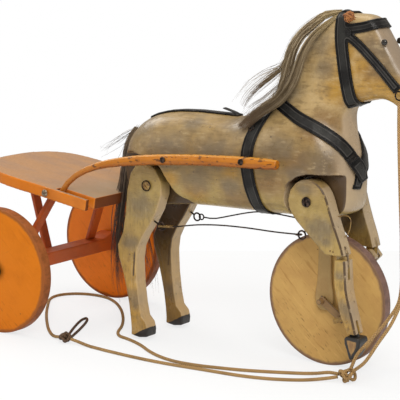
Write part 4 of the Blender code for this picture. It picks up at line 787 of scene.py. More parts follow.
def seat_board(colours):
    """Worn bare top with grain along the board, orange paint left on the edge, and painted shade on the faces
    that look forward and on those that look down.
    """
    tree, shader, where, tint = painted_wood("seat_board", tuple(colours.orange), tuple(colours.bare),
                                             darkening=0.5, lines=60.0)
    facing = facing_way(tree)
    grain = use(tree, "Wood Grain", {"Vector": where, "Lines": 55.0, "Waviness": 5.0})
    stain = noise(tree, place(tree, where, (0.5, 1.6, 1.0)), 16.0, 5.0, 0.6)
    by_lip = times(tree, fade(tree, split(tree, where)["X"], -0.235, -0.160),
                   fade(tree, stain, 0.30, 0.60, 0.35, 0.8))
    top = colours.seat
    for mask, wood in (
            (fade(tree, stain, 0.40, 0.66), (0.385, 0.225, 0.130)),
            (fade(tree, grain["Lines"], 0.50, 1.0, 0.0, 0.42), (0.26, 0.125, 0.066)),
            (fade(tree, grain["Fibre"], 0.52, 0.74, 0.0, 0.35), (0.58, 0.40, 0.235)),
            (fade(tree, grain["Fibre"], 0.46, 0.32, 0.0, 0.55), (0.20, 0.100, 0.052)),
            (by_lip, (0.340, 0.235, 0.140))):
        top = mix(tree, mask, top, wood)
    level = calc(tree, "ADD", facing["Z"], times(tree, calc(tree, "SUBTRACT", stain, 0.5), 0.12))
    for mask, paint in (
            # Painted shade: faces that look forward, the slots' walls among them, are painted deep
            # orange-brown.
            (fade(tree, facing["X"], 0.55, 0.80, 0.0, 0.88), (0.105, 0.026, 0.009)),
            (fade(tree, level, 0.90, 0.955), top),
            # Painted shade: faces that look down are painted a darker orange.
            (fade(tree, facing["Z"], -0.6, -0.85), (0.30, 0.080, 0.022))):
        tint = mix(tree, mask, tint, paint)
    tree.links.new(tint, shader.inputs["Base Color"])


def hoof_paint():
    """Black front hooves with an ochre middle."""
    tree, shader = new_material("hoof_paint")
    where = object_coords(tree)
    outer = fade(tree, split(tree, mirrored_coords(tree, where))["Y"], -0.0565, -0.0575)
    spread = times(tree, calc(tree, "SUBTRACT", noise(tree, where, 90.0), 0.5), 0.004)
    middle = times(tree, fade(tree, calc(tree, "ADD", attribute(tree, "rim"), spread), 0.0030, 0.0045), outer)
    strokes = use(tree, "Brush Marks", {"Vector": where, "Fineness": 60.0})["Value"]
    ochre = mix(tree, fade(tree, strokes, 0.4, 0.6), (0.38, 0.22, 0.075), (0.22, 0.12, 0.045))
    colour = mix(tree, middle, (0.020, 0.019, 0.018), ochre)
    wear = use(tree, "Edge Wear", {"Vector": where, "Amount": 0.3, "Scale": 150.0})
    colour = mix(tree, wear["Bare"], colour, (0.30, 0.19, 0.085))
    finish_shader(tree, shader, colour, 0.42, strokes, 0.0003)


def leather(colours):
    """Black harness leather: a middle painted lighter as sheen and thin lighter lines painted as highlights,
    beside dark pressed lines, with creases and grey rubbed edges.
    """
    tree, shader = new_material("black_leather")
    where = object_coords(tree)
    pores = add(tree, "ShaderNodeTexVoronoi", {"Vector": where, "Scale": 900.0}).outputs["Distance"]
    creases = noise(tree, where, 120.0, 5.0, 0.65, 1.5)
    cloud = noise(tree, where, 34.0)
    rim = attribute(tree, "rim")
    groove = times(tree, fade(tree, rim, 0.0016, 0.0024), fade(tree, rim, 0.0040, 0.0034))
    line = times(tree, fade(tree, rim, 0.0038, 0.0045), fade(tree, rim, 0.0062, 0.0054))
    rubbed = times(tree, fade(tree, rim, 0.0011, 0.0003), fade(tree, creases, 0.48, 0.62))
    colour = colours.leather
    for mask, shade in (
            (fade(tree, cloud, 0.35, 0.7), (0.009, 0.008, 0.008)),
            # Painted sheen: the middle of a strap is painted lighter grey.
            (times(tree, fade(tree, rim, 0.0056, 0.0072), fade(tree, cloud, 0.30, 0.62, 0.15, 0.80)),
             (0.030, 0.030, 0.028)),
            (fade(tree, creases, 0.60, 0.72, 0.0, 0.25), (0.060, 0.052, 0.045)),
            # Painted highlight: a thin line inside each border is painted lighter.
            (times(tree, line, fade(tree, cloud, 0.32, 0.60, 0.15, 0.80)), (0.062, 0.059, 0.055)),
            (groove, (0.004, 0.004, 0.004)),
            (times(tree, rubbed, 0.6), (0.10, 0.088, 0.074))):
        colour = mix(tree, mask, colour, shade)
    height = calc(tree, "ADD", creases, times(tree, pores, 0.4))
    height = calc(tree, "SUBTRACT", height, times(tree, groove, 1.6))
    finish_shader(tree, shader, colour, fade(tree, creases, 0.3, 0.7, 0.26, 0.42), height, 0.00035)
    shader.inputs["Specular IOR Level"].default_value = 0.20


def metal(name, colour, rust, amount, roughness):
    """Aged metal with rust or tarnish that gathers in patches."""
    tree, shader = new_material(name)
    where = object_coords(tree)
    patches = noise(tree, where, 260.0, 5.0, 0.65)
    fine = noise(tree, where, 1400.0, 3.0, 0.6)
    spot = fade(tree, patches, 0.62 - amount * 0.3, 0.72 - amount * 0.3)
    tint = mix(tree, spot, mix(tree, fine, colour, scaled(colour, 0.6)), rust)
    rough = fade(tree, patches, 0.3, 0.8, roughness, roughness + 0.3)
    finish_shader(tree, shader, tint, rough, fine, 0.00008, metallic=calc(tree, "SUBTRACT", 1.0, spot))


def hair_material(name, colour, pale, dark, end, root):
    """Coarse horsehair: each hair has its own tone, and its end is of another colour."""
    tree, shader = new_material(name)
    tone, reach = attribute(tree, "tone"), attribute(tree, "reach")
    along = noise(tree, object_coords(tree), 42.0)
    tint = colour
    for mask, shade in (
            (fade(tree, tone, 0.55, 0.95), pale),
            (fade(tree, tone, 0.45, 0.10), dark),
            (fade(tree, along, 0.45, 0.70, 0.0, 0.45), dark),
            (times(tree, fade(tree, reach, 0.28, 0.50), 0.45), dark),
            (times(tree, fade(tree, reach, 0.26, 0.06), 0.45), root),
            (fade(tree, reach, 0.72, 1.0, 0.0, 0.75), end)):
        tint = mix(tree, mask, tint, shade)
    finish_shader(tree, shader, tint, 0.34)
    shader.inputs["Specular IOR Level"].default_value = 0.45


def cord_material(name, colour, dark):
    """Braided plant-fibre cord: the braid's diamonds follow the cord's own UV map."""
    tree, shader = new_material(name)
    uv = add(tree, "ShaderNodeUVMap", uv_map="Cord").outputs[0]
    parts = split(tree, uv)
    turns = times(tree, parts["X"], 8 * math.pi)
    run = times(tree, parts["Y"], 2 * math.pi / 0.0034)
    strands = (calc(tree, "SINE", calc(tree, way, turns, run)) for way in ("ADD", "SUBTRACT"))
    weave = calc(tree, "MAXIMUM", *strands)
    fibres = noise(tree, place(tree, uv, (30.0, 420.0, 1.0)), 6.0, 4.0, 0.7)
    cloud = noise(tree, object_coords(tree), 22.0, 4.0, 0.6)
    tint = mix(tree, fade(tree, weave, 0.0, 0.95), dark, colour)
    tint = mix(tree, fade(tree, fibres, 0.45, 0.75, 0.0, 0.5), tint, scaled(colour, 1.7))
    tint = mix(tree, fade(tree, cloud, 0.40, 0.70, 0.0, 0.45), tint, dark)
    height = calc(tree, "ADD", weave, times(tree, fibres, 0.5))
    finish_shader(tree, shader, tint, 0.72, height, 0.00035)


def glass_bead():
    """Black glass of the eyes."""
    tree, shader = new_material("glass_bead")
    where = object_coords(tree)
    tint = mix(tree, noise(tree, where, 300.0), (0.006, 0.005, 0.005), (0.03, 0.025, 0.02))
    finish_shader(tree, shader, tint, 0.12, noise(tree, where, 500.0), 0.00004)


def raffia():
    """Dyed raffia: each strand has its own tone."""
    tree, shader = new_material("raffia_fibre")
    tint = mix(tree, attribute(tree, "tone"), (0.62, 0.27, 0.08), (0.26, 0.09, 0.035))
    finish_shader(tree, shader, tint, 0.7, noise(tree, object_coords(tree), 900.0), 0.0002)


def build_finishes(colours):
    """All materials, from the shared groups."""
    build_shared_groups()
    orange, red, bare = tuple(colours.orange), tuple(colours.red), tuple(colours.bare)
    horse_paint(colours)
    hoof_paint()
    painted_wood("crank_paint", (0.30, 0.18, 0.075), (0.10, 0.08, 0.06), darkening=0.6)
    painted_wood("fork_paint", (0.40, 0.265, 0.105), bare, darkening=0.5, turn=(0.0, math.pi / 2, 0.0),
                 roughness=0.5)
    painted_wood("red_paint", red, (0.22, 0.09, 0.04), darkening=0.55, turn=(0.0, 0.0, math.pi / 2))
    shaft_paint()
    seat_board(colours)
    wheel_paint("near_wheel_paint", orange, (0.40, 0.14, 0.03), REAR_HUB, (0.235, 0.075, 0.022), 0.096)
    # Painted light: the far wheel's orange is a lighter copy of the near wheel's, brightened against the
    # shade it stands in.
    wheel_paint("far_wheel_paint", (0.88, 0.225, 0.012), (0.30, 0.10, 0.03), REAR_HUB, (0.20, 0.06, 0.02),
                0.096)
    wheel_paint("front_wheel_paint", tuple(colours.wheel), (0.34, 0.20, 0.08), FRONT_HUB,
                (0.155, 0.090, 0.072), 0.0945, streaks=0.60, clouds=0.35)
    leather(colours)
    metal("dark_iron", (0.026, 0.022, 0.020), (0.050, 0.024, 0.014), 0.50, 0.42)
    metal("dull_steel", (0.42, 0.37, 0.28), (0.10, 0.060, 0.030), 0.45, 0.32)
    metal("brass", (0.46, 0.30, 0.115), (0.13, 0.070, 0.028), 0.45, 0.32)
    hair_material("mane_hair", colours.hair, pale=(0.66, 0.545, 0.370), dark=(0.085, 0.055, 0.026),
                  end=(0.125, 0.070, 0.034), root=(0.40, 0.300, 0.130))
    hair_material("tail_strands", (0.125, 0.088, 0.062), pale=(0.34, 0.265, 0.195),
                  dark=(0.035, 0.023, 0.017), end=(0.060, 0.040, 0.030), root=(0.34, 0.255, 0.160))
    cord_material("cord_fibre", tuple(colours.cord), (0.19, 0.105, 0.036))
    cord_material("old_cord_fibre", (0.150, 0.085, 0.045), (0.038, 0.021, 0.012))
    glass_bead()
    raffia()


# Geometry node trees

def geometry_tree(name, **inputs):
    """A new geometry tree with named inputs, each given with its kind."""
    tree = bpy.data.node_groups.new(name, "GeometryNodeTree")
    tree.interface.new_socket("Geometry", in_out="INPUT", socket_type="NodeSocketGeometry")
    for label, kind in {**inputs, "Material": "Material"}.items():
        tree.interface.new_socket(label.replace("_", " "), in_out="INPUT", socket_type="NodeSocket" + kind)
    tree.interface.new_socket("Geometry", in_out="OUTPUT", socket_type="NodeSocketGeometry")
    return tree, tree.nodes.new("NodeGroupInput").outputs, tree.nodes.new("NodeGroupOutput").inputs


def close_tree(tree, geometry, material, out):
    """Make a tree's instances real and give them their material."""
    real = add(tree, "GeometryNodeRealizeInstances", {"Geometry": geometry}).outputs[0]
    coloured = add(tree, "GeometryNodeSetMaterial", {"Geometry": real, "Material": material}).outputs[0]
    tree.links.new(coloured, out["Geometry"])


def curve_to_tube(tree, curve, radius, sides, scale=None):
    """A round tube along a curve, with closed ends."""
    circle = add(tree, "GeometryNodeCurvePrimitiveCircle", {"Resolution": sides, "Radius": radius})
    inputs = {"Curve": curve, "Profile Curve": circle.outputs["Curve"], "Fill Caps": True}
    made = add(tree, "GeometryNodeCurveToMesh", inputs)
    if scale is not None:
        tree.links.new(scale, made.inputs["Scale"])
    return made.outputs["Mesh"]


def named_value(tree, name, kind="FLOAT"):
    """A value that the tree's own geometry carries."""
    made = add(tree, "GeometryNodeInputNamedAttribute", data_type=kind)
    made.inputs["Name"].default_value = name
    return made.outputs["Attribute"]


def build_geometry_trees():
    """Hairs along guide lines, a wrapped wire, nail heads on points, and turned discs."""
    tree, ins, outs = geometry_tree("Hairs", Thickness="Float")
    curves = add(tree, "GeometryNodeMeshToCurve", {"Mesh": ins["Geometry"]}).outputs[0]
    tubes = curve_to_tube(tree, curves, ins["Thickness"], 3, named_value(tree, "thin"))
    close_tree(tree, tubes, ins["Material"], outs)

    tree, ins, outs = geometry_tree("Wire Wrap", Turns="Float", Core_Radius="Float", Wire_Radius="Float",
                                    Length="Float")
    inputs = {"Resolution": 14, "Rotations": ins["Turns"], "Start Radius": ins["Core Radius"],
              "End Radius": ins["Core Radius"], "Height": ins["Length"]}
    spiral = add(tree, "GeometryNodeCurveSpiral", inputs).outputs[0]
    close_tree(tree, curve_to_tube(tree, spiral, ins["Wire Radius"], 6), ins["Material"], outs)

    tree, ins, outs = geometry_tree("Nail Heads", Radius="Float", Height="Float")
    head = add(tree, "GeometryNodeMeshUVSphere", {"Segments": 14, "Rings": 8, "Radius": 1.0}).outputs[0]
    inputs = {0: ins["Radius"], 1: ins["Radius"], 2: ins["Height"]}
    size = add(tree, "ShaderNodeCombineXYZ", inputs).outputs[0]
    head = add(tree, "GeometryNodeTransform", {"Geometry": head, "Scale": size}).outputs[0]
    facing = named_value(tree, "facing", "FLOAT_VECTOR")
    turn = add(tree, "FunctionNodeAlignRotationToVector", {"Vector": facing}, axis="Z").outputs[0]
    inputs = {"Points": ins["Geometry"], "Instance": head, "Rotation": turn}
    close_tree(tree, add(tree, "GeometryNodeInstanceOnPoints", inputs).outputs[0], ins["Material"], outs)

    tree, ins, outs = geometry_tree("Turned Disc", Radius="Float", Bore="Float", Thickness="Float",
                                    Rounding="Float", Segments="Int")
    inputs = {"Width": calc(tree, "SUBTRACT", ins["Radius"], ins["Bore"]), "Height": ins["Thickness"]}
    profile = add(tree, "GeometryNodeCurvePrimitiveQuadrilateral", inputs).outputs[0]
    inputs = {"Curve": profile, "Count": 5, "Radius": ins["Rounding"]}
    profile = add(tree, "GeometryNodeFilletCurve", inputs, mode="POLY").outputs[0]
    middle = times(tree, calc(tree, "ADD", ins["Radius"], ins["Bore"]), 0.5)
    inputs = {"Resolution": ins["Segments"], "Radius": middle}
    ring = add(tree, "GeometryNodeCurvePrimitiveCircle", inputs).outputs["Curve"]
    inputs = {"Curve": ring, "Profile Curve": profile, "Fill Caps": False}
    close_tree(tree, add(tree, "GeometryNodeCurveToMesh", inputs).outputs[0], ins["Material"], outs)


def run_tree(obj, name, material, **values):
    """Run a geometry tree on an object with its inputs set by identifier, and keep the plain mesh."""
    tree = bpy.data.node_groups[name]
    values["material"] = bpy.data.materials[material]
    modifier = obj.modifiers.new(name, "NODES")
    modifier.node_group = tree
    for item in tree.interface.items_tree:
        key = item.name.replace(" ", "_").lower()
        if item.in_out == "INPUT" and key in values:
            modifier[item.identifier] = values[key]
    return bake_modifiers(obj)


def points_object(name, points, facings):
    """Loose points that carry the way they face."""
    mesh = bpy.data.meshes.new(name)
    mesh.from_pydata([tuple(p) for p in points], [], [])
    made = mesh.attributes.new("facing", "FLOAT_VECTOR", "POINT")
    made.data.foreach_set("vector", [c for f in facings for c in f])
    return new_object(name, mesh)


# Stage and camera

CAMERA_TURN, CAMERA_TIP = math.radians(35.608), math.radians(9.978)  # to the toy's side, and downwards
SENSOR = 36.0  # millimetres
PICTURE_WIDTH, FOCAL_LENGTH = 400.0, 1533.97  # pixels
FLOOR_END, FLOOR_HALF_WIDTH = 2.998, 3.5  # how far the floor reaches in front of and beside the camera
LAMPS = (
    # name, place, aim, size, power
    ("key", (1.35, -1.45, 1.75), (0.0, 0.0, 0.25), 1.1, 34.0),
    ("fill", (-1.8, -1.3, 1.1), (0.0, 0.0, 0.2), 1.4, 6.0),
    ("top", (-0.1, 0.1, 2.2), (0.0, 0.0, 0.2), 1.6, 17.0),
    ("back", (-1.7, 0.5, 1.55), (0.0, 0.0, 0.25), 0.8, 10.0),
)


class TOY_OT_stage(bpy.types.Operator):
    """Make the white floor, the backdrop, the soft lamps and the camera"""
    bl_idname = "toy.stage"
    bl_label = "Stage and Camera"

    def execute(self, context):
        scene = context.scene
        scene.view_settings.view_transform = "Standard"
        self.camera(scene)
        self.world(scene)
        for name, spot, aim, size, power in LAMPS:
            lamp = bpy.data.objects.new(name, bpy.data.lights.new(name, "AREA"))
            lamp.data.energy, lamp.data.size, lamp.data.color = power, size, (1.0, 0.97, 0.92)
            lamp.location = spot
            lamp.rotation_euler = (Vector(spot) - Vector(aim)).to_track_quat("Z", "Y").to_euler()
            scene.collection.objects.link(lamp)
        self.floor(scene.camera.location)
        return {"FINISHED"}

    def camera(self, scene):
        """The camera stands where the photograph was taken."""
        back = Vector((math.sin(CAMERA_TURN), -math.cos(CAMERA_TURN), 0.0)) * math.cos(CAMERA_TIP)
        back.z = math.sin(CAMERA_TIP)
        camera = bpy.data.objects.new("camera", bpy.data.cameras.new("camera"))
        camera.data.sensor_width = SENSOR
        camera.data.lens = SENSOR * FOCAL_LENGTH / PICTURE_WIDTH
        camera.data.clip_end = 60.0
        camera.location = (1.64230 - ORIGIN_X, -1.89219, 0.63078)
        camera.rotation_euler = back.to_track_quat("Z", "Y").to_euler()
        scene.collection.objects.link(camera)
        scene.camera = camera

    def world(self, scene):
        """A white backdrop for the camera, and a dimmer, warmer one for the light on the toy."""
        world = bpy.data.worlds.new("studio")
        world.use_nodes = True
        scene.world = world
        tree = world.node_tree
        sky = tree.nodes["Background"]
        rays = add(tree, "ShaderNodeLightPath").outputs
        seen = calc(tree, "MAXIMUM", rays["Is Camera Ray"], rays["Is Transmission Ray"])
        tree.links.new(mix(tree, seen, (0.94, 0.88, 0.80), (1.0, 1.0, 1.0)), sky.inputs["Color"])
        tree.links.new(calc(tree, "ADD", times(tree, seen, 0.50), 0.50), sky.inputs["Strength"])

    def floor(self, eye):
        """A pale floor that ends in a straight line behind the toy, square to the camera."""
        tree, shader = new_material("stage_white")
        shader.inputs["Roughness"].default_value = 0.9
        cloud = noise(tree, object_coords(tree), 3.0, 4.0)
        colour = mix(tree, cloud, (0.865, 0.895, 0.935), (0.885, 0.92, 0.96))
        tree.links.new(colour, shader.inputs["Base Color"])
        glow = add(tree, "ShaderNodeEmission", {"Color": (1.0, 1.0, 1.0, 1.0), "Strength": 1.0}).outputs[0]
        share = times(tree, add(tree, "ShaderNodeLightPath").outputs["Is Camera Ray"], 0.74)
        blend = add(tree, "ShaderNodeMixShader", {0: share, 1: shader.outputs[0], 2: glow}).outputs[0]
        tree.links.new(blend, tree.nodes["Material Output"].inputs["Surface"])
        ahead = Vector((-math.sin(CAMERA_TURN), math.cos(CAMERA_TURN), 0.0))
        aside = Vector((math.cos(CAMERA_TURN), math.sin(CAMERA_TURN), 0.0)) * FLOOR_HALF_WIDTH
        near, far = (Vector((eye.x, eye.y, 0.0)) + ahead * depth for depth in (-2.0, FLOOR_END))
        mesh = bpy.data.meshes.new("stage")
        mesh.from_pydata([tuple(c) for c in (near - aside, near + aside, far + aside, far - aside)], [],
                         [(0, 1, 2, 3)])
        mesh.materials.append(bpy.data.materials["stage_white"])
        new_object("stage", mesh)


# Cords

# Middles and half sizes of the two knots, where the cords enter them
KNOT, KNOT_SIZE = Vector((0.5940, -0.0700, 0.0113)), (0.0165, 0.0135, 0.0110)
LOOP_KNOT, LOOP_KNOT_SIZE = Vector((0.1300, -0.1390, 0.0093)), (0.0120, 0.0100, 0.0090)
KNOT_ENTRY = 0.001  # how far a cord's end lies under a knot's surface
# The cords' ways in the layout. A point without a height lies on the floor.
ROUTES = {
    "rein_R": (
        (0.6425, -0.0262, 0.3965), (0.6470, -0.0330, 0.3560), (0.6600, -0.0500, 0.2780),
        (0.6700, -0.0610, 0.2000), (0.6690, -0.0620, 0.1292), (0.6525, -0.0620, 0.0998),
        (0.6280, -0.0625, 0.0690), (0.6055, -0.0640, 0.0420)),
    "rein_L": (
        (0.6425, 0.0262, 0.3965), (0.6480, 0.0160, 0.3560), (0.6640, -0.0220, 0.2850),
        (0.6770, -0.0600, 0.2150), (0.6790, -0.0690, 0.1450), (0.6650, -0.0710, 0.1020),
        (0.6420, -0.0725, 0.0650), (0.6220, -0.0730, 0.0350)),
    "strand_long": (
        (0.5600, -0.0655, 0.0085), (0.5380, -0.0705, 0.0045), (0.5170, -0.0770), (0.4801, -0.0950),
        (0.4424, -0.1110), (0.4032, -0.1225), (0.3809, -0.1280), (0.3578, -0.1310), (0.3334, -0.1310),
        (0.3034, -0.1240), (0.2740, -0.1110), (0.2400, -0.0900), (0.2080, -0.0750), (0.1760, -0.0640),
        (0.1600, -0.0450), (0.1450, -0.0180), (0.1180, 0.0200), (0.0744, 0.0690), (0.0332, 0.1040),
        (0.0000, 0.1210), (-0.0300, 0.1235), (-0.0600, 0.1130), (-0.0770, 0.0900), (-0.0750, 0.0640),
        (-0.0375, 0.0102), (-0.0026, -0.0321), (0.0286, -0.0665), (0.0648, -0.1030), (0.0922, -0.1248),
        (0.1080, -0.1330, 0.0050)),
    "strand_short": (
        (0.5660, -0.0830, 0.0050), (0.5401, -0.1020), (0.5000, -0.1240), (0.4591, -0.1355), (0.4150, -0.1405),
        (0.3908, -0.1425), (0.3671, -0.1450), (0.3339, -0.1480), (0.2858, -0.1490), (0.2332, -0.1460),
        (0.1791, -0.1400), (0.1520, -0.1380, 0.0060)),
}


def knot_point(centre, size, towards):
    """Where a cord enters a knot, a little under its surface."""
    out = (Vector(towards) - centre).normalized()
    return centre + out * (1.0 / math.sqrt(sum((c / s) ** 2 for c, s in zip(out, size))) - KNOT_ENTRY)


def braid_radius(radius, pitch):
    """Radius of a braided cord: strands wind both ways round it."""
    def at(angle, along):
        """The radius at an angle round the cord and a length along it."""
        run = 2 * math.pi * along / pitch
        crown = max(abs(math.cos(2 * angle + run)), abs(math.cos(2 * angle - run)))
        return radius * (0.86 + 0.14 * crown)
    return at


def trefoil(centre, half_sizes, count, turn, lean):
    """A pulled-tight overhand knot's line, inside half sizes."""
    points = []
    for index in range(count):
        t = 2 * math.pi * index / count
        p = Vector(((math.sin(t) + 2 * math.sin(2 * t)) / 3.0, (math.cos(t) - 2 * math.cos(2 * t)) / 3.0,
                    -math.sin(3 * t)))
        p = Matrix.Rotation(turn, 3, "Z") @ Matrix.Rotation(lean, 3, "X") @ p
        points.append(centre + Vector(c * s for c, s in zip(p, half_sizes)))
    return np.array([p[:] for p in points])


class TOY_OT_cords(bpy.types.Operator):
    """Lay the reins from the bit, the knot, the doubled pull cord and its hand loop"""
    bl_idname = "toy.cords"
    bl_label = "Reins and Pull Cord"

    def execute(self, context):
        sizes = context.scene.toy_sizes
        radius = sizes.cord_diameter / 2
        at = braid_radius(radius, sizes.braid_pitch)
        shift = Vector((-ORIGIN_X, 0, 0))
        floor = radius + 0.0003
        knot = self.knot("rein_knot_look", KNOT + shift, (0.0128, 0.0100, 0.0070), radius, sizes, 0.5)
        dress(knot, "cord_fibre", "rein_knot")
        loop = self.hand_loop(radius, sizes, shift)
        dress(loop, "old_cord_fibre", "hand_loop")
        for name, points in ROUTES.items():
            points = [Vector((*p, floor)) if len(p) == 2 else Vector(p) for p in points]
            if name.startswith("rein"):
                points = [*points, knot_point(KNOT, KNOT_SIZE, points[-1])]
            else:
                points = [knot_point(KNOT, KNOT_SIZE, points[0]), *points,
                          knot_point(LOOP_KNOT, LOOP_KNOT_SIZE, points[-1])]
            path = smooth_path([p + shift for p in points], 60)
            path = smooth_path(path, int(path_length(path) / 0.0009))
            path[:, 2] = np.maximum(path[:, 2], radius + 0.0001)
            cord = sweep(name + "_look", path, at, 18)
            dress(cord, "cord_fibre", name)
        return {"FINISHED"}

    def knot(self, name, centre, half, radius, sizes, turn):
        """An overhand knot with one more turn of cord round it."""
        at = braid_radius(radius * 0.96, sizes.braid_pitch)
        tied = sweep("tied", trefoil(centre, half, 150, turn, 0.3), at, 16, closed=True)
        around = [centre + Vector((0.0035 * math.sin(2 * t), half[1] * 0.98 * math.cos(t),
                                   half[2] * math.sin(t))) for t in (2 * math.pi * i / 70 for i in range(70))]
        wrap = sweep("wrap", np.array([p[:] for p in around]), at, 16, closed=True)
        return joined(name, [tied, wrap])

    def hand_loop(self, radius, sizes, shift):
        """The small dark knot and the flat eye that a hand or hook takes."""
        centre = LOOP_KNOT + shift
        knot = self.knot("small_knot", centre, (0.0088, 0.0074, 0.0052), radius * 0.92, sizes, 1.2)
        eye_radius = 0.0022
        base = Vector((LOOP_KNOT.x, LOOP_KNOT.y, 0.0)) + shift
        along = Vector((0.0640, -0.0100, 0.0)) + shift - base
        across = Vector((-along.y, along.x, 0.0)).normalized()
        bulge = [(0.03, 0.0027), (0.22, 0.0036), (0.50, 0.0056), (0.80, 0.0058), (0.95, 0.0036), (1.00, 0.0)]
        height = Vector((0, 0, eye_radius + 0.0003))
        way = [base + along * t + across * w + height for t, w in bulge]
        way += [base + along * t - across * w + height for t, w in reversed(bulge[:-1])]
        line = smooth_path(way, 320)
        eye = sweep("eye", line, braid_radius(eye_radius, sizes.braid_pitch * 0.8), 14)
        return joined("hand_loop_look", [knot, eye])


# Horse

class TOY_OT_horse(bpy.types.Operator):
    """Carve and paint the horse's body, neck and head, and set its eyes"""
    bl_idname = "toy.horse"
    bl_label = "Horse Body"

    def execute(self, context):
        cell = context.scene.toy_sizes.wood_cell
        dress(carved(("torso", "neck_head"), cell, 34), "horse_paint", "torso", "neck_head")
        for side, sign in SIDES:
            low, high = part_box("eye_" + side)
            radius = (high.z - low.z) / 2
            depth = high.y - low.y
            profile = [(0.0, -depth * 0.45), (radius * 0.98, -depth * 0.45), (radius, -depth * 0.25)]
            profile += [(radius * math.cos(a), depth * (-0.25 + 0.75 * math.sin(a)))
                        for a in (0.35, 0.7, 1.05, 1.35)]
            profile += [(0.0, depth * 0.5)]
            eye = lathe("eye_%s_look" % side, profile, middle_of("eye_" + side), (0, sign, 0), 28)
            dress(eye, "glass_bead", "eye_" + side)
        return {"FINISHED"}


class TOY_OT_legs(bpy.types.Operator):
    """Finish the jointed front legs with their hooves, the rear legs and the fork"""
    bl_idname = "toy.legs"
    bl_label = "Legs and Fork"

    def execute(self, context):
        for side, _ in SIDES:
            for node, cell in (("upper_leg_", 0.0011), ("lower_leg_", 0.0010), ("rear_leg_", 0.0013)):
                dress(carved(node + side, cell, 10), "horse_paint", node + side)
            dress(carved("hoof_" + side, 0.0007, 8), "hoof_paint", "hoof_" + side)
            dress(carved("fork_" + side, 0.0010, 8), "fork_paint", "fork_" + side)
        return {"FINISHED"}


class TOY_OT_harness(bpy.types.Operator):
    """Finish the straps and the bit rings, and add the rosettes, the ear's stub and the girth's ring"""
    bl_idname = "toy.harness"
    bl_label = "Leather Harness"

    def execute(self, context):
        border = context.scene.toy_sizes.strap_border
        for node in ("back_strap", "girth_strap", "collar_R", "collar_L", "bridle"):
            dress(carved(node, 0.0008, 12, keep=0.0015, border=border), "black_leather", node)
        for side, sign in SIDES:
            dress(carved("bit_ring_" + side, 0.0004, 6), "dark_iron", "bit_ring_" + side)
            self.rosette(side, sign)
        self.ear()
        self.strap_end()
        self.girth_ring()
        return {"FINISHED"}

    def rosette(self, side, sign):
        """A small leather button where the bridle's straps meet."""
        body = merged("bridle")
        beside = Vector((0.2735, sign * 0.12, 0.4905))
        spot = BVHTree.FromBMesh(body).ray_cast(beside, Vector((0, -sign, 0)))[0]
        body.free()
        if spot is None:
            raise RuntimeError("the bridle has no strap at the rosette's place")
        profile = [(0.0, -0.0008), (0.0052, -0.0008), (0.0056, 0.0002), (0.0050, 0.0014), (0.0036, 0.0017),
                   (0.0030, 0.0012), (0.0022, 0.0020), (0.0, 0.0026)]
        made = lathe("rosette_" + side, profile, spot, (0, sign, 0), 30)
        put_attribute(made.data, "rim", np.full(len(made.data.vertices), TRIM_RIM))
        dress(made, "black_leather", body="frame", slot="leather")

    def strip(self, name, path, width, thick):
        """A flat leather strip along a path, as wide as its width and rounded at its edges."""
        rings, sides = 26, 14
        centre = smooth_path(path, rings)
        made = sweep(name, centre, lambda angle, along: 1.0, sides)
        points = read_points(made.data).reshape(rings, sides, 3)
        for ring, middle in zip(points, centre):
            out = ring - middle
            across = out[:, 1]
            lean = out - np.outer(across, (0, 1, 0))
            size = np.linalg.norm(lean, axis=1, keepdims=True)
            lean = np.divide(lean, size, out=np.zeros_like(lean), where=size > 1e-6)
            ring[:] = (middle + np.outer(np.clip(across, -1, 1) * width / 2, (0, 1, 0))
                       + lean * np.clip(size, 0, 1) * thick / 2)
        made.data.vertices.foreach_set("co", points.ravel())
        made.data.update()
        put_attribute(made.data, "rim", np.full(rings * sides, TRIM_RIM))
        dress(made, "black_leather", body="frame", slot="leather")

    def ear(self):
        """The stub of a leather ear, folded flat behind the poll."""
        self.strip("ear_stub", [(0.2510, -0.006, 0.5120), (0.2545, -0.006, 0.5172), (0.2605, -0.006, 0.5192),
                                (0.2660, -0.006, 0.5172), (0.2690, -0.006, 0.5130)], 0.014, 0.0040)

    def strap_end(self):
        """The back strap's loose end, which stands up behind the withers."""
        self.strip("strap_end", [(0.0730, 0.0, 0.3592), (0.0660, 0.0, 0.3618), (0.0560, 0.0, 0.3645),
                                 (0.0470, 0.0, 0.3668)], 0.011, 0.0024)

    def girth_ring(self):
        """A worn iron ring let into the girth strap near the withers."""
        body = merged("girth_strap")
        spot, normal = BVHTree.FromBMesh(body).find_nearest(Vector((0.1290, -0.055, 0.3520)))[:2]
        body.free()
        across = normal.orthogonal().normalized()
        other = normal.cross(across)
        circle = [spot + normal * 0.0007 + (across * math.cos(t) + other * math.sin(t)) * 0.0052
                  for t in (2 * math.pi * k / 40 for k in range(40))]
        circle = np.array([c[:] for c in circle])
        ring = sweep("girth_ring", circle, lambda angle, along: 0.00085, 10, closed=True)
        dress(ring, "dark_iron", body="frame", slot="iron")


# Hair

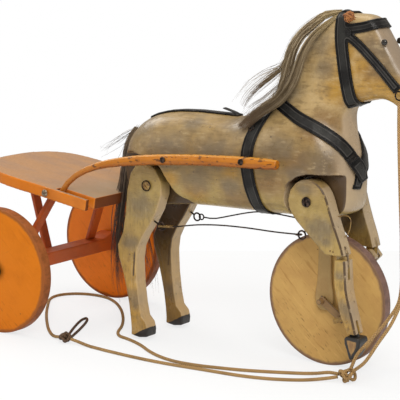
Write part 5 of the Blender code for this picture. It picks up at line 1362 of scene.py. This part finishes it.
# Guide curves of the hair, from its root to its end
MANE_GUIDES = (
    # outer lock: its outer and its inner side
    ((0.2498, -0.003, 0.5189), (0.2226, -0.004, 0.5157), (0.197, -0.006, 0.499), (0.1794, -0.008, 0.4842),
     (0.1681, -0.01, 0.469), (0.1627, -0.013, 0.4528), (0.1605, -0.016, 0.4384), (0.1605, -0.019, 0.4242),
     (0.1589, -0.023, 0.4063), (0.1556, -0.028, 0.3927), (0.1432, -0.034, 0.383), (0.1264, -0.04, 0.37),
     (0.1052, -0.045, 0.3536), (0.0931, -0.048, 0.3405)),
    ((0.2487, -0.008, 0.5157), (0.2281, -0.013, 0.5089), (0.2117, -0.018, 0.4926), (0.1982, -0.021, 0.4821),
     (0.1918, -0.024, 0.4709), (0.1874, -0.027, 0.4585), (0.1855, -0.029, 0.4463), (0.1841, -0.032, 0.4336),
     (0.1811, -0.035, 0.4193), (0.1756, -0.038, 0.4049), (0.1672, -0.042, 0.3918), (0.1538, -0.045, 0.381),
     (0.1352, -0.048, 0.3684), (0.1156, -0.050, 0.3526), (0.1012, -0.052, 0.3385)),
    # inner lock along the neck
    ((0.2503, -0.012, 0.5145), (0.2344, -0.022, 0.5025), (0.2167, -0.029, 0.4861), (0.2061, -0.033, 0.4703),
     (0.199, -0.036, 0.4546), (0.1954, -0.038, 0.4403), (0.191, -0.04, 0.426), (0.1846, -0.043, 0.4102),
     (0.1765, -0.046, 0.397), (0.1643, -0.048, 0.3856), (0.1468, -0.05, 0.3752), (0.1274, -0.052, 0.3596),
     (0.1096, -0.054, 0.3423)),
    ((0.2507, -0.018, 0.5099), (0.2389, -0.028, 0.4981), (0.2239, -0.034, 0.4831), (0.2158, -0.038, 0.4682),
     (0.2104, -0.041, 0.4533), (0.2071, -0.043, 0.4392), (0.202, -0.046, 0.4214), (0.1935, -0.049, 0.405),
     (0.183, -0.052, 0.3915), (0.1716, -0.054, 0.3823), (0.1559, -0.056, 0.3735), (0.1395, -0.057, 0.3616),
     (0.1246, -0.058, 0.3483), (0.1106, -0.059, 0.334)),
    # locks that leave the neck in a loop and come back to the withers
    ((0.2504, -0.004, 0.5184), (0.2189, -0.006, 0.5118), (0.1915, -0.01, 0.4912), (0.1749, -0.014, 0.4693),
     (0.1676, -0.017, 0.4519), (0.1628, -0.02, 0.4389), (0.1505, -0.022, 0.4318), (0.1352, -0.025, 0.4211),
     (0.1198, -0.028, 0.4088), (0.1077, -0.032, 0.3945), (0.103, -0.038, 0.3815), (0.1051, -0.045, 0.369)),
    ((0.25, -0.006, 0.517), (0.2197, -0.01, 0.5078), (0.1924, -0.014, 0.4857), (0.1783, -0.018, 0.4639),
     (0.1719, -0.021, 0.4466), (0.1657, -0.023, 0.4334), (0.1559, -0.025, 0.4229), (0.1452, -0.027, 0.4138),
     (0.13, -0.03, 0.4015), (0.117, -0.034, 0.3882), (0.1114, -0.04, 0.3763), (0.1111, -0.046, 0.3666)),
    ((0.25, -0.006, 0.517), (0.2203, -0.011, 0.5065), (0.1931, -0.015, 0.4844), (0.1807, -0.019, 0.4627),
     (0.1743, -0.022, 0.4439), (0.1713, -0.025, 0.4267), (0.1648, -0.028, 0.415), (0.1531, -0.031, 0.403),
     (0.1362, -0.034, 0.3898), (0.1197, -0.038, 0.3789), (0.1097, -0.044, 0.3685), (0.1019, -0.048, 0.3573)),
    ((0.2504, -0.004, 0.5184), (0.2189, -0.006, 0.5111), (0.1899, -0.01, 0.4897), (0.1741, -0.014, 0.4678),
     (0.1683, -0.018, 0.4505), (0.1603, -0.02, 0.438), (0.128, -0.022, 0.4256), (0.102, -0.025, 0.4082),
     (0.0868, -0.03, 0.3871), (0.0821, -0.036, 0.374)),
)
TAIL_GUIDES = (
    # near side, middle, the side by the leg, and a wisp that flies out behind
    ((-0.1199, -0.004, 0.3245), (-0.1299, -0.008, 0.3067), (-0.1340, -0.012, 0.2877),
     (-0.1341, -0.016, 0.2611), (-0.1390, -0.018, 0.2224), (-0.1481, -0.020, 0.1734),
     (-0.1532, -0.022, 0.1276), (-0.1500, -0.024, 0.0875), (-0.1452, -0.024, 0.0603),
     (-0.1409, -0.022, 0.0424)),
    ((-0.1210, 0.000, 0.3224), (-0.1332, 0.000, 0.3039), (-0.1375, 0.000, 0.2812), (-0.1398, 0.000, 0.2473),
     (-0.1423, 0.000, 0.2067), (-0.1469, 0.000, 0.1574), (-0.1495, 0.000, 0.1079), (-0.1458, 0.000, 0.0671)),
    ((-0.1206, 0.002, 0.3222), (-0.1324, 0.004, 0.3004), (-0.1316, 0.004, 0.2748), (-0.1249, 0.004, 0.2401),
     (-0.1152, 0.004, 0.2008), (-0.1035, 0.004, 0.1584), (-0.0937, 0.004, 0.1223), (-0.0840, 0.004, 0.0878),
     (-0.0782, 0.004, 0.0511)),
    ((-0.1223, -0.006, 0.3213), (-0.1398, -0.012, 0.3079), (-0.1610, -0.016, 0.2931),
     (-0.1825, -0.020, 0.2765)),
)


def hair_object(name, lines, thins, tones):
    """Loose edges along hair lines, with a thickness and a tone for each point."""
    points, edges, thin, tone, reach = [], [], [], [], []
    for line, widths, shade in zip(lines, thins, tones):
        first = len(points)
        points += [tuple(p) for p in line]
        edges += [(first + i, first + i + 1) for i in range(len(line) - 1)]
        thin += list(widths)
        tone += [shade] * len(line)
        reach += list(np.linspace(0.0, 1.0, len(line)))
    mesh = bpy.data.meshes.new(name)
    mesh.from_pydata(points, edges, [])
    put_attribute(mesh, "thin", thin)
    put_attribute(mesh, "tone", tone)
    put_attribute(mesh, "reach", reach)
    return new_object(name, mesh)


def grow(guides, weights, count, steps, spread, seed, frizz=0.0025, short=0.25, lock=1):
    """Hair lines between pairs of guide curves, with their thicknesses and tones.

    Each lock is its own mix of two guides, a little off and of its own tone, and the lock's hairs differ a
    little from each other. The weights say how often a pair of guides is taken.
    """
    chance = random.Random(seed)
    curves = [smooth_path(g, steps) for g in guides]
    lines, thins, tones = [], [], []
    s = np.linspace(0, 1, steps).reshape(-1, 1)
    for index in range(count):
        if index % lock == 0:
            a, b = chance.choices(weights, [w[2] for w in weights])[0][:2]
            t, phase, shade = chance.random(), chance.uniform(0, 6.28), chance.random()
            off, swing = (np.array([chance.gauss(0, size) for _ in range(3)]) for size in (spread, frizz))
        stray = np.array([chance.gauss(0, 0.0008 if lock > 1 else 0.0) for _ in range(3)])
        line = curves[a] * (1 - t) + curves[b] * t
        line = line + off * (0.35 + 0.65 * np.sin(np.pi * s) + 0.4 * s)
        line = line + swing * np.sin(phase + 5.0 * s) * s + stray * (0.3 + s)
        keep = max(6, int(steps * (1 - chance.random() * short)))
        lines.append(line[:keep])
        thins.append((1.0 - 0.75 * np.linspace(0, 1, keep) ** 3) * chance.uniform(0.7, 1.2))
        tones.append(min(1.0, max(0.0, shade + chance.gauss(0, 0.10))))
    return lines, thins, tones


class TOY_OT_hair(bpy.types.Operator):
    """Grow the mane, the tail and the tuft of raffia at the poll"""
    bl_idname = "toy.hair"
    bl_label = "Mane, Tail and Tuft"

    def execute(self, context):
        sizes = context.scene.toy_sizes
        mane = [grow(MANE_GUIDES, [(0, 1, 6), (2, 3, 3.0), (1, 2, 0.5), (4, 5, 0.8), (6, 6, 0.5)],
                     sizes.mane_hairs, 21, 0.0013, 3, frizz=0.0018, short=0.16, lock=5),
                grow(MANE_GUIDES, [(7, 4, 1), (6, 1, 1)], 34, 21, 0.0030, 4, frizz=0.005)]
        self.finish("mane", mane, sizes.hair_thickness, "mane_hair")
        tail = [grow(TAIL_GUIDES, [(0, 1, 5), (1, 2, 3)], sizes.tail_hairs, 20, 0.0034, 5, frizz=0.007,
                     short=0.40, lock=4),
                grow(TAIL_GUIDES, [(0, 2, 1)], 60, 20, 0.0060, 6, frizz=0.010),
                grow(TAIL_GUIDES, [(3, 3, 1), (3, 0, 0.6)], 12, 20, 0.0040, 7, frizz=0.006, short=0.4)]
        self.finish("tail", tail, sizes.hair_thickness * 1.15, "tail_strands")
        self.finish("poll_tuft", [self.raffia()], 0.00048, "raffia_fibre")
        return {"FINISHED"}

    def finish(self, node, parts, thickness, material):
        """Hairs of one or more growths as one piece, none of them below the floor."""
        lines, thins, tones = (sum((part[i] for part in parts), []) for i in range(3))
        lines = [[(x, y, max(z, 0.003)) for x, y, z in line] for line in lines]
        made = hair_object(node + "_look", lines, thins, tones)
        run_tree(made, "Hairs", material, thickness=thickness)
        dress(made, material, node)

    def raffia(self):
        """Loose turns of raffia at the poll, and a short stalk of it that ties them to the bridle."""
        chance = random.Random(9)
        middle = middle_of("poll_tuft")
        lines = []
        for _ in range(46):
            turn, tip = chance.uniform(0, 2 * math.pi), chance.uniform(-1.2, 1.2)
            normal = Vector((math.cos(turn) * math.cos(tip), math.sin(turn) * math.cos(tip), math.sin(tip)))
            across = normal.orthogonal().normalized()
            other = normal.cross(across)
            reach = chance.uniform(0.0032, 0.0092)
            start = chance.uniform(0, 6.28)
            lines.append([middle + (across * math.cos(a) + other * math.sin(a) * 0.8) * reach
                          + Vector((0.0010, -0.001, 0)) for a in (start + 5.2 * i / 15 for i in range(16))])
        body = merged("bridle")
        spot = BVHTree.FromBMesh(body).find_nearest(middle)[0]
        body.free()
        for _ in range(14):
            loose = Vector(chance.gauss(0, 0.0009) for _ in range(3))
            lines.append([middle.lerp(spot, 1.08 * i / 15) + loose * (1.6 - i / 15) for i in range(16)])
        thins = [np.full(16, chance.uniform(0.8, 1.3)) for _ in lines]
        return lines, thins, [chance.random() for _ in lines]


# Wheels

class TOY_OT_wheels(bpy.types.Operator):
    """Turn the three wheels and finish the crank axle"""
    bl_idname = "toy.wheels"
    bl_label = "Wheels and Crank"

    def execute(self, context):
        for node, bore, material in (("front_wheel", 0.0058, "front_wheel_paint"),
                                     ("rear_wheel_R", 0.0037, "near_wheel_paint"),
                                     ("rear_wheel_L", 0.0037, "far_wheel_paint")):
            low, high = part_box(node)
            wheel = new_object(node + "_look", bpy.data.meshes.new(node + "_look"))
            run_tree(wheel, "Turned Disc", material, radius=(high.x - low.x) / 2, bore=bore,
                     thickness=high.y - low.y, rounding=0.0016, segments=128)
            wheel.data.transform(Matrix.Translation(middle_of(node)) @ Matrix.Rotation(math.pi / 2, 4, "X"))
            dress(wheel, material, node)
        dress(carved("crank_axle", 0.0007, 6), "crank_paint", "crank_axle")
        return {"FINISHED"}


# Sulky

class TOY_OT_sulky(bpy.types.Operator):
    """Finish the seat board, its struts and beam, and the bent shafts"""
    bl_idname = "toy.sulky"
    bl_label = "Sulky"

    def execute(self, context):
        dress(carved("seat", 0.0015, 5), "seat_board", "seat")
        dress(carved("axle_beam", 0.0012, 5), "red_paint", "axle_beam")
        for name in ("strut_R", "strut_L", "strut_back"):
            dress(carved(name, 0.0009, 5), "red_paint", name)
        for side, _ in SIDES:
            dress(carved("shaft_" + side, 0.0011, 14), "orange_paint", "shaft_" + side)
        return {"FINISHED"}


# Metal

# The front legs' joints at rest, as (x, z)
SHOULDERS = {"R": (0.22882, 0.250), "L": (0.22882, 0.250)}
KNEES = {"R": (0.28482, 0.164), "L": (0.28086, 0.16155)}
FETLOCKS = {"R": (0.30332, 0.0715), "L": (0.22306, 0.087)}


class TOY_OT_metalwork(bpy.types.Operator):
    """Finish the bolts, screws, screw eyes and rods, and add their washers, cups, nails and wire"""
    bl_idname = "toy.metalwork"
    bl_label = "Bolts, Eyes and Rods"

    def execute(self, context):
        washer = [(0.0040, -0.0002), (0.0098, -0.0002), (0.0102, 0.0003), (0.0098, 0.0009), (0.0042, 0.0009)]
        for side, sign in SIDES:
            for node in ("rod_", "front_eye_", "rear_eye_"):
                dress(carved(node + side, 0.00042, 8), "dark_iron", node + side)
            for node, material, depth in (
                    ("hip_bolt_", "brass", 0.5), ("shoulder_bolt_", "dark_iron", 0.8),
                    ("hub_screw_", "dark_iron", 0.6), ("shaft_screw_rear_", "dark_iron", 0.6),
                    ("shaft_screw_front_", "dark_iron", 0.6), ("seat_bolt_", "dull_steel", 0.6)):
                dress(self.screw(node + side, sign, depth), material, node + side)
            wheel, bolt = "rear_wheel_" + side, "hip_bolt_" + side
            self.ring("hub_washer_" + side, "hub_screw_" + side, sign, outer_face(wheel, sign), washer, 36,
                      wheel)
            low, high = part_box(bolt)
            edge = (high.z - low.z) / 2
            cup = [(edge - 0.0004, -0.0008), (edge + 0.0010, -0.0008), (edge + 0.0008, 0.0004),
                   (edge - 0.0002, 0.0004)]
            self.ring("hip_cup_" + side, bolt, sign, outer_face(bolt, sign) - sign * 0.0016, cup, 32,
                      BODY_OF[bolt])
            self.nails(side, sign)
        self.wrap()
        self.staple()
        return {"FINISHED"}

    def screw(self, node, sign, depth):
        """A slotted screw with the frame's own head and shank sizes. The depth is the slot's."""
        low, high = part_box(node)
        middle, outer = (low + high) / 2, outer_face(node, sign)
        radius, length = (high.z - low.z) / 2, high.y - low.y
        body = merged(node)
        reaches = [math.hypot(v.co.x - middle.x, v.co.z - middle.z) for v in body.verts]
        shank = 0.99 * min(reach for reach in reaches if reach > 1e-5)
        top = max(abs(outer - v.co.y) for v, reach in zip(body.verts, reaches) if reach > radius * 0.95)
        body.free()
        crown = top * 0.86
        profile = [(0.0, -length), (shank, -length), (shank, -top), (radius * 0.999, -top)]
        profile += [(radius * math.cos(a), -crown + crown * math.sin(a)) for a in
                    (math.pi / 2 * i / 7 for i in range(7))] + [(0.0, 0.0)]
        screw = lathe(node + "_look", profile, (middle.x, outer, middle.z), (0, sign, 0), 28)
        slot = bmesh.new()
        bmesh.ops.create_cube(slot, size=1.0)
        # Each slot stands at an angle of its own
        turn = Matrix.Rotation(0.6 + 1.7 * (abs(middle.x) * 37 % 1.0), 4, "Y")
        slot.transform(Matrix.Translation((middle.x, outer, middle.z)) @ turn
                       @ Matrix.Diagonal((radius * 2.4, top * depth * 1.5, radius * 0.28, 1.0)))
        cutter = object_from("slot", slot)
        cut = screw.modifiers.new("slot", "BOOLEAN")
        cut.operation, cut.solver, cut.object = "DIFFERENCE", "EXACT", cutter
        bake_modifiers(screw)
        bpy.data.objects.remove(cutter, do_unlink=True)
        screw.data.set_sharp_from_angle(angle=math.radians(40))
        return screw

    def ring(self, name, node, sign, face, section, steps, body):
        """A thin iron ring round a head, turned from a section, at a distance from the toy's middle plane."""
        middle = middle_of(node)
        made = lathe(name, section, (middle.x, face, middle.z), (0, sign, 0), steps, closed=True)
        dress(made, "dark_iron", body=body, slot="iron")

    def nails(self, side, sign):
        """Two brass nails near the knee and two near the fetlock of a front leg, on its outer face."""
        for limb, roots, tips, places in (
                ("upper_leg_", SHOULDERS, KNEES, ((0.2687, 0.1838), (0.2736, 0.1830))),
                ("lower_leg_", KNEES, FETLOCKS, ((0.2978, 0.0852), (0.3013, 0.0755)))):
            # The places are the right leg's, and are turned to this leg's pose
            own, right = (math.atan2(tips[leg][1] - roots[leg][1], tips[leg][0] - roots[leg][0])
                          for leg in (side, "R"))
            turn, root, start = own - right, roots[side], roots["R"]
            face = outer_face(limb + side, sign)
            points = []
            for x, z in places:
                dx, dz = x - start[0], z - start[1]
                points.append((root[0] + dx * math.cos(turn) - dz * math.sin(turn), face,
                               root[1] + dx * math.sin(turn) + dz * math.cos(turn)))
            nails = points_object(limb + "nails_" + side, points, [(0, sign, 0)] * len(points))
            run_tree(nails, "Nail Heads", "brass", radius=0.0014, height=0.0008)
            dress(nails, "brass", body=BODY_OF[limb + side], slot="steel")

    def wrap(self):
        """Bright wire wound round the right rod where its rear loop closes."""
        body = merged("rod_R")
        rod = np.array([v.co[:] for v in body.verts])
        body.free()
        ends = []
        for x in (-0.0400, -0.0130):
            near = rod[np.abs(rod[:, 0] - x) < 0.012]
            level = np.polyfit(near[:, 0], near[:, 2], 1)
            ends.append(Vector((x, near[:, 1].mean(), level[0] * x + level[1])))
        along = ends[1] - ends[0]
        wire = new_object("rod_wrap_R", bpy.data.meshes.new("rod_wrap_R"))
        run_tree(wire, "Wire Wrap", "brass", turns=22.0, core_radius=0.00165, wire_radius=0.00045,
                 length=along.length)
        turn = Vector((0, 0, 1)).rotation_difference(along).to_matrix().to_4x4()
        wire.data.transform(Matrix.Translation(ends[0]) @ turn)
        dress(wire, "brass", body=BODY_OF["rod_R"], slot="steel")

    def staple(self):
        """A light wire loop that stands out of the right upper leg's front."""
        points = [(0.2660, -0.0400, 0.2300), (0.2771, -0.0380, 0.2322), (0.2850, -0.0370, 0.2322),
                  (0.2892, -0.0370, 0.2285), (0.2893, -0.0370, 0.2200), (0.2862, -0.0380, 0.2080),
                  (0.2780, -0.0400, 0.1990)]
        wire = sweep("leg_staple", smooth_path(points, 60), lambda angle, along: 0.0008, 10)
        dress(wire, "brass", body=BODY_OF["upper_leg_R"], slot="steel")


class TOY_PT_panel(bpy.types.Panel):
    """Sizes, colours and pieces of the toy"""
    bl_label = "Horse and Sulky"
    bl_idname = "TOY_PT_panel"
    bl_space_type = "VIEW_3D"
    bl_region_type = "UI"
    bl_category = "Horse Toy"

    def draw(self, context):
        """List the sizes, the colours and the pieces."""
        for group in (context.scene.toy_sizes, context.scene.toy_colours):
            for name in group.__annotations__:
                self.layout.prop(group, name)
        for piece in PIECES:
            self.layout.operator(piece.bl_idname)


PIECES = (TOY_OT_stage, TOY_OT_cords, TOY_OT_horse, TOY_OT_legs, TOY_OT_harness, TOY_OT_hair, TOY_OT_wheels,
          TOY_OT_sulky, TOY_OT_metalwork)
CLASSES = (ToySizes, ToyColours, *PIECES, TOY_PT_panel)


def register():
    """Make the classes, and the scene's sizes and colours, known to Blender."""
    for item in CLASSES:
        bpy.utils.register_class(item)
    bpy.types.Scene.toy_sizes = bpy.props.PointerProperty(type=ToySizes, name="Sizes",
                                                          description="Sizes of the pieces")
    bpy.types.Scene.toy_colours = bpy.props.PointerProperty(type=ToyColours, name="Colours",
                                                            description="Paint colours")


def unregister():
    """Undo register."""
    del bpy.types.Scene.toy_colours
    del bpy.types.Scene.toy_sizes
    for item in reversed(CLASSES):
        bpy.utils.unregister_class(item)


def main():
    """Build every piece."""
    register()
    build_finishes(bpy.context.scene.toy_colours)
    build_geometry_trees()
    for piece in PIECES:
        group, name = piece.bl_idname.split(".")
        getattr(getattr(bpy.ops, group), name)()


if __name__ == "__main__":
    main()
